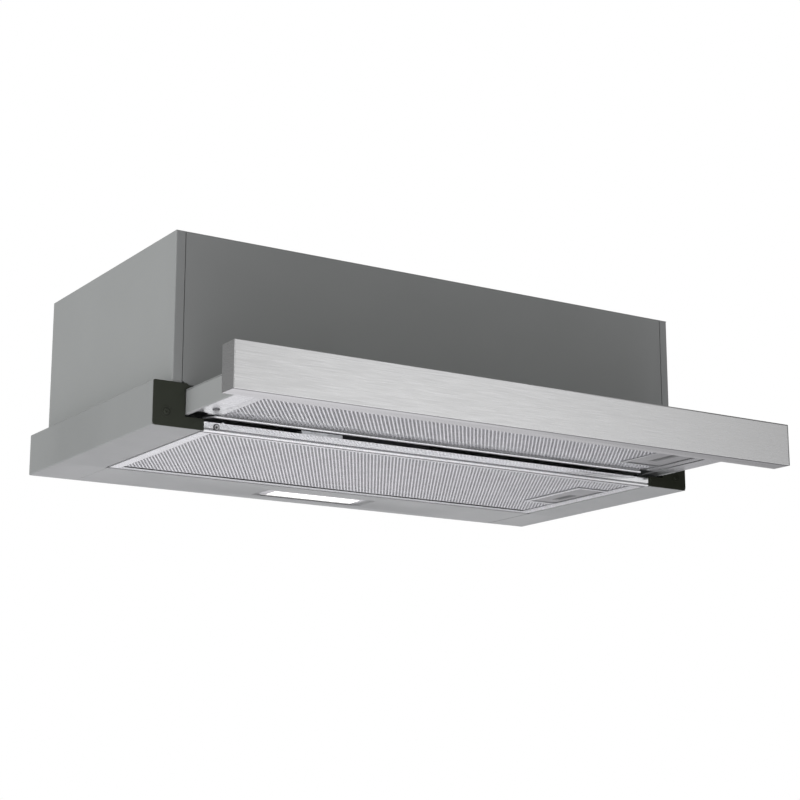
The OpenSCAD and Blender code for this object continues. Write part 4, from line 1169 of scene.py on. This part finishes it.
# ---------------------------------------------------------------- kept CAD nodes: soft edges
replaced = {"left_side_panel", "right_side_panel", "tray_left_rail", "tray_right_rail", "fascia", "left_corner_cap", "right_corner_cap",
            "front_crossbar", "crossbar_screw", "drawer_left_rail", "drawer_right_rail", "drawer_rail_screw", "corner_cap_screws", "main_filter_frame", "main_filter_mesh",
            "main_filter_back_mesh", "main_filter_latch", "drawer_filter_frame", "drawer_filter_mesh", "drawer_filter_latch"}
wide = {"drawer_back_rail": 0.42, "top_panel": 0, "rear_panel": 0, "tray_rear_rail": 0, "outlet_collar": 0, "light_button": 0.7, "off_button": 0.7, "speed_1_button": 0.7, "speed_2_button": 0.7, "speed_3_button": 0.7,
        "control_housing": 0.5, "terminal_box": 0.8, "terminal_box_lid": 0.6, "lamp_housing": 0.4, "motor": 1.2, "capacitor": 0.8,
        "centre_glide": 0.6, "fan_wheel": 0.2, "cable_gland": 0.4}
for n in slot_of:
    if n in replaced or n not in bpy.data.objects:
        continue
    cad(n, wide.get(n, 0.25), {"drawer_back_rail": MATS["lip_bright"], "lamp_housing": MATS["lamp_rim"]}.get(n), 2)

# ---------------------------------------------------------------- stage, light and camera
sc = bpy.context.scene
bm = bmesh.new()
bmesh.ops.create_grid(bm, x_segments=1, y_segments=1, size=9.0)
me = bpy.data.meshes.new("floor")
bm.to_mesh(me)
bm.free()
floor = bpy.data.objects.new("floor", me)
floor.location = (0, 0, -2.3)
sc.collection.objects.link(floor)
fm, nt, bs = new_mat("floor_look")
bs.inputs["Base Color"].default_value = (0.86, 0.86, 0.86, 1)
bs.inputs["Roughness"].default_value = 0.9
floor.data.materials.append(fm)
floor.visible_diffuse = False
floor.visible_glossy = False
floor.visible_shadow = False
floor.visible_transmission = False

world = bpy.data.worlds.new("studio")
sc.world = world
world.use_nodes = True
wt = world.node_tree
wt.nodes.clear()
wo = wt.nodes.new("ShaderNodeOutputWorld")
tc = wt.nodes.new("ShaderNodeTexCoord")
nrm = N(wt, "ShaderNodeVectorMath", operation="NORMALIZE")
wt.links.new(tc.outputs["Generated"], nrm.inputs[0])


def lobe(d, power, strength):
    d = Vector(d).normalized()
    dt = N(wt, "ShaderNodeVectorMath", operation="DOT_PRODUCT")
    dt.inputs[1].default_value = d
    wt.links.new(nrm.outputs[0], dt.inputs[0])
    mx = N(wt, "ShaderNodeMath", operation="MAXIMUM")
    mx.inputs[1].default_value = 0.0
    wt.links.new(dt.outputs["Value"], mx.inputs[0])
    pw = N(wt, "ShaderNodeMath", operation="POWER")
    pw.inputs[1].default_value = power
    wt.links.new(mx.outputs[0], pw.inputs[0])
    ml = N(wt, "ShaderNodeMath", operation="MULTIPLY")
    ml.inputs[1].default_value = strength
    wt.links.new(pw.outputs[0], ml.inputs[0])
    return ml.outputs[0]


AMBIENT = 0.12
CARDS = (((0.48, -0.845, 0.23), 36.0, 1.30), ((0.47, -0.84, -0.30), 24.0, 2.3))
LOBES = [
    ((-1.0, -0.05, 0.0), 5.0, 1.85, (0.99, 1.003, 1.0)),      # big soft light from the left
    ((0.0, -0.1, -1.0), 4.0, 1.2, (1.0, 0.985, 1.03)),       # from below
    ((-0.25, -0.55, -0.8), 6.0, 0.85, (1.0, 0.985, 1.02)),      # from below in front
    ((0.0, 0.1, 1.0), 4.0, 0.9, (1.0, 1.0, 1.0)),             # from above
    ((0.40, 0.89, -0.24), 20.0, 1.10, (1.0, 0.985, 1.02)),       # behind and below, mirrored by the bright underside
]
acc = None
for d, p, s, tint in LOBES:
    sv = N(wt, "ShaderNodeVectorMath", operation="SCALE")
    sv.inputs[0].default_value = tint
    wt.links.new(lobe(d, p, s), sv.inputs["Scale"])
    if acc is None:
        acc = sv.outputs[0]
    else:
        ad = N(wt, "ShaderNodeVectorMath", operation="ADD")
        wt.links.new(acc, ad.inputs[0])
        wt.links.new(sv.outputs[0], ad.inputs[1])
        acc = ad.outputs[0]
ad = N(wt, "ShaderNodeVectorMath", operation="ADD")
ad.inputs[1].default_value = (AMBIENT, AMBIENT, AMBIENT)
wt.links.new(acc, ad.inputs[0])
bg = wt.nodes.new("ShaderNodeBackground")
wt.links.new(ad.outputs[0], bg.inputs["Color"])
bg.inputs["Strength"].default_value = 1.0
white = wt.nodes.new("ShaderNodeBackground")
white.inputs["Color"].default_value = (1, 1, 1, 1)
white.inputs["Strength"].default_value = 1.0
lp = wt.nodes.new("ShaderNodeLightPath")
mx = wt.nodes.new("ShaderNodeMixShader")
wt.links.new(lp.outputs["Is Camera Ray"], mx.inputs[0])
wt.links.new(bg.outputs[0], mx.inputs[1])
wt.links.new(white.outputs[0], mx.inputs[2])
wt.links.new(mx.outputs[0], wo.inputs["Surface"])

# big soft card in front, seen only in polished surfaces
bm = bmesh.new()
bmesh.ops.create_icosphere(bm, subdivisions=4, radius=6.0)
me = bpy.data.meshes.new("front_card")
bm.to_mesh(me)
bm.free()
for q in me.polygons:
    q.use_smooth = True
card = bpy.data.objects.new("front_card", me)
sc.collection.objects.link(card)
card.visible_camera = False
card.visible_diffuse = False
card.visible_shadow = False
card.visible_transmission = False
cm = bpy.data.materials.new("front_card_look")
cm.use_nodes = True
ct = cm.node_tree
ct.nodes.clear()
c_out = ct.nodes.new("ShaderNodeOutputMaterial")
c_tc = ct.nodes.new("ShaderNodeTexCoord")
c_n = N(ct, "ShaderNodeVectorMath", operation="NORMALIZE")
ct.links.new(c_tc.outputs["Object"], c_n.inputs[0])
c_sum = None
for cdir, cpow, cstr in CARDS:
    c_d = N(ct, "ShaderNodeVectorMath", operation="DOT_PRODUCT")
    c_d.inputs[1].default_value = Vector(cdir).normalized()
    ct.links.new(c_n.outputs[0], c_d.inputs[0])
    c_m = N(ct, "ShaderNodeMath", operation="MAXIMUM")
    c_m.inputs[1].default_value = 0.0
    ct.links.new(c_d.outputs["Value"], c_m.inputs[0])
    c_p = N(ct, "ShaderNodeMath", operation="POWER")
    c_p.inputs[1].default_value = cpow
    ct.links.new(c_m.outputs[0], c_p.inputs[0])
    c_s = N(ct, "ShaderNodeMath", operation="MULTIPLY")
    c_s.inputs[1].default_value = cstr
    ct.links.new(c_p.outputs[0], c_s.inputs[0])
    if c_sum is None:
        c_sum = c_s.outputs[0]
    else:
        c_a2 = N(ct, "ShaderNodeMath", operation="ADD")
        ct.links.new(c_sum, c_a2.inputs[0])
        ct.links.new(c_s.outputs[0], c_a2.inputs[1])
        c_sum = c_a2.outputs[0]
c_e = ct.nodes.new("ShaderNodeEmission")
ct.links.new(c_sum, c_e.inputs["Strength"])
c_t = ct.nodes.new("ShaderNodeBsdfTransparent")
c_a = ct.nodes.new("ShaderNodeAddShader")
ct.links.new(c_e.outputs[0], c_a.inputs[0])
ct.links.new(c_t.outputs[0], c_a.inputs[1])
ct.links.new(c_a.outputs[0], c_out.inputs["Surface"])
me.materials.append(cm)

sc.view_settings.view_transform = "Standard"
sc.view_settings.look = "None"
sc.view_settings.exposure = 0.0
sc.view_settings.gamma = 1.0

cam = bpy.data.cameras.new("camera")
co = bpy.data.objects.new("camera", cam)
sc.collection.objects.link(co)
co.location = (-0.9374, -1.4501, -0.3260)
co.rotation_euler = (math.radians(102.946), 0.0, math.radians(-32.702))
cam.lens = 81.743
cam.sensor_width = 36.0
cam.sensor_fit = "HORIZONTAL"
cam.clip_start = 0.05
cam.clip_end = 50.0
sc.camera = co
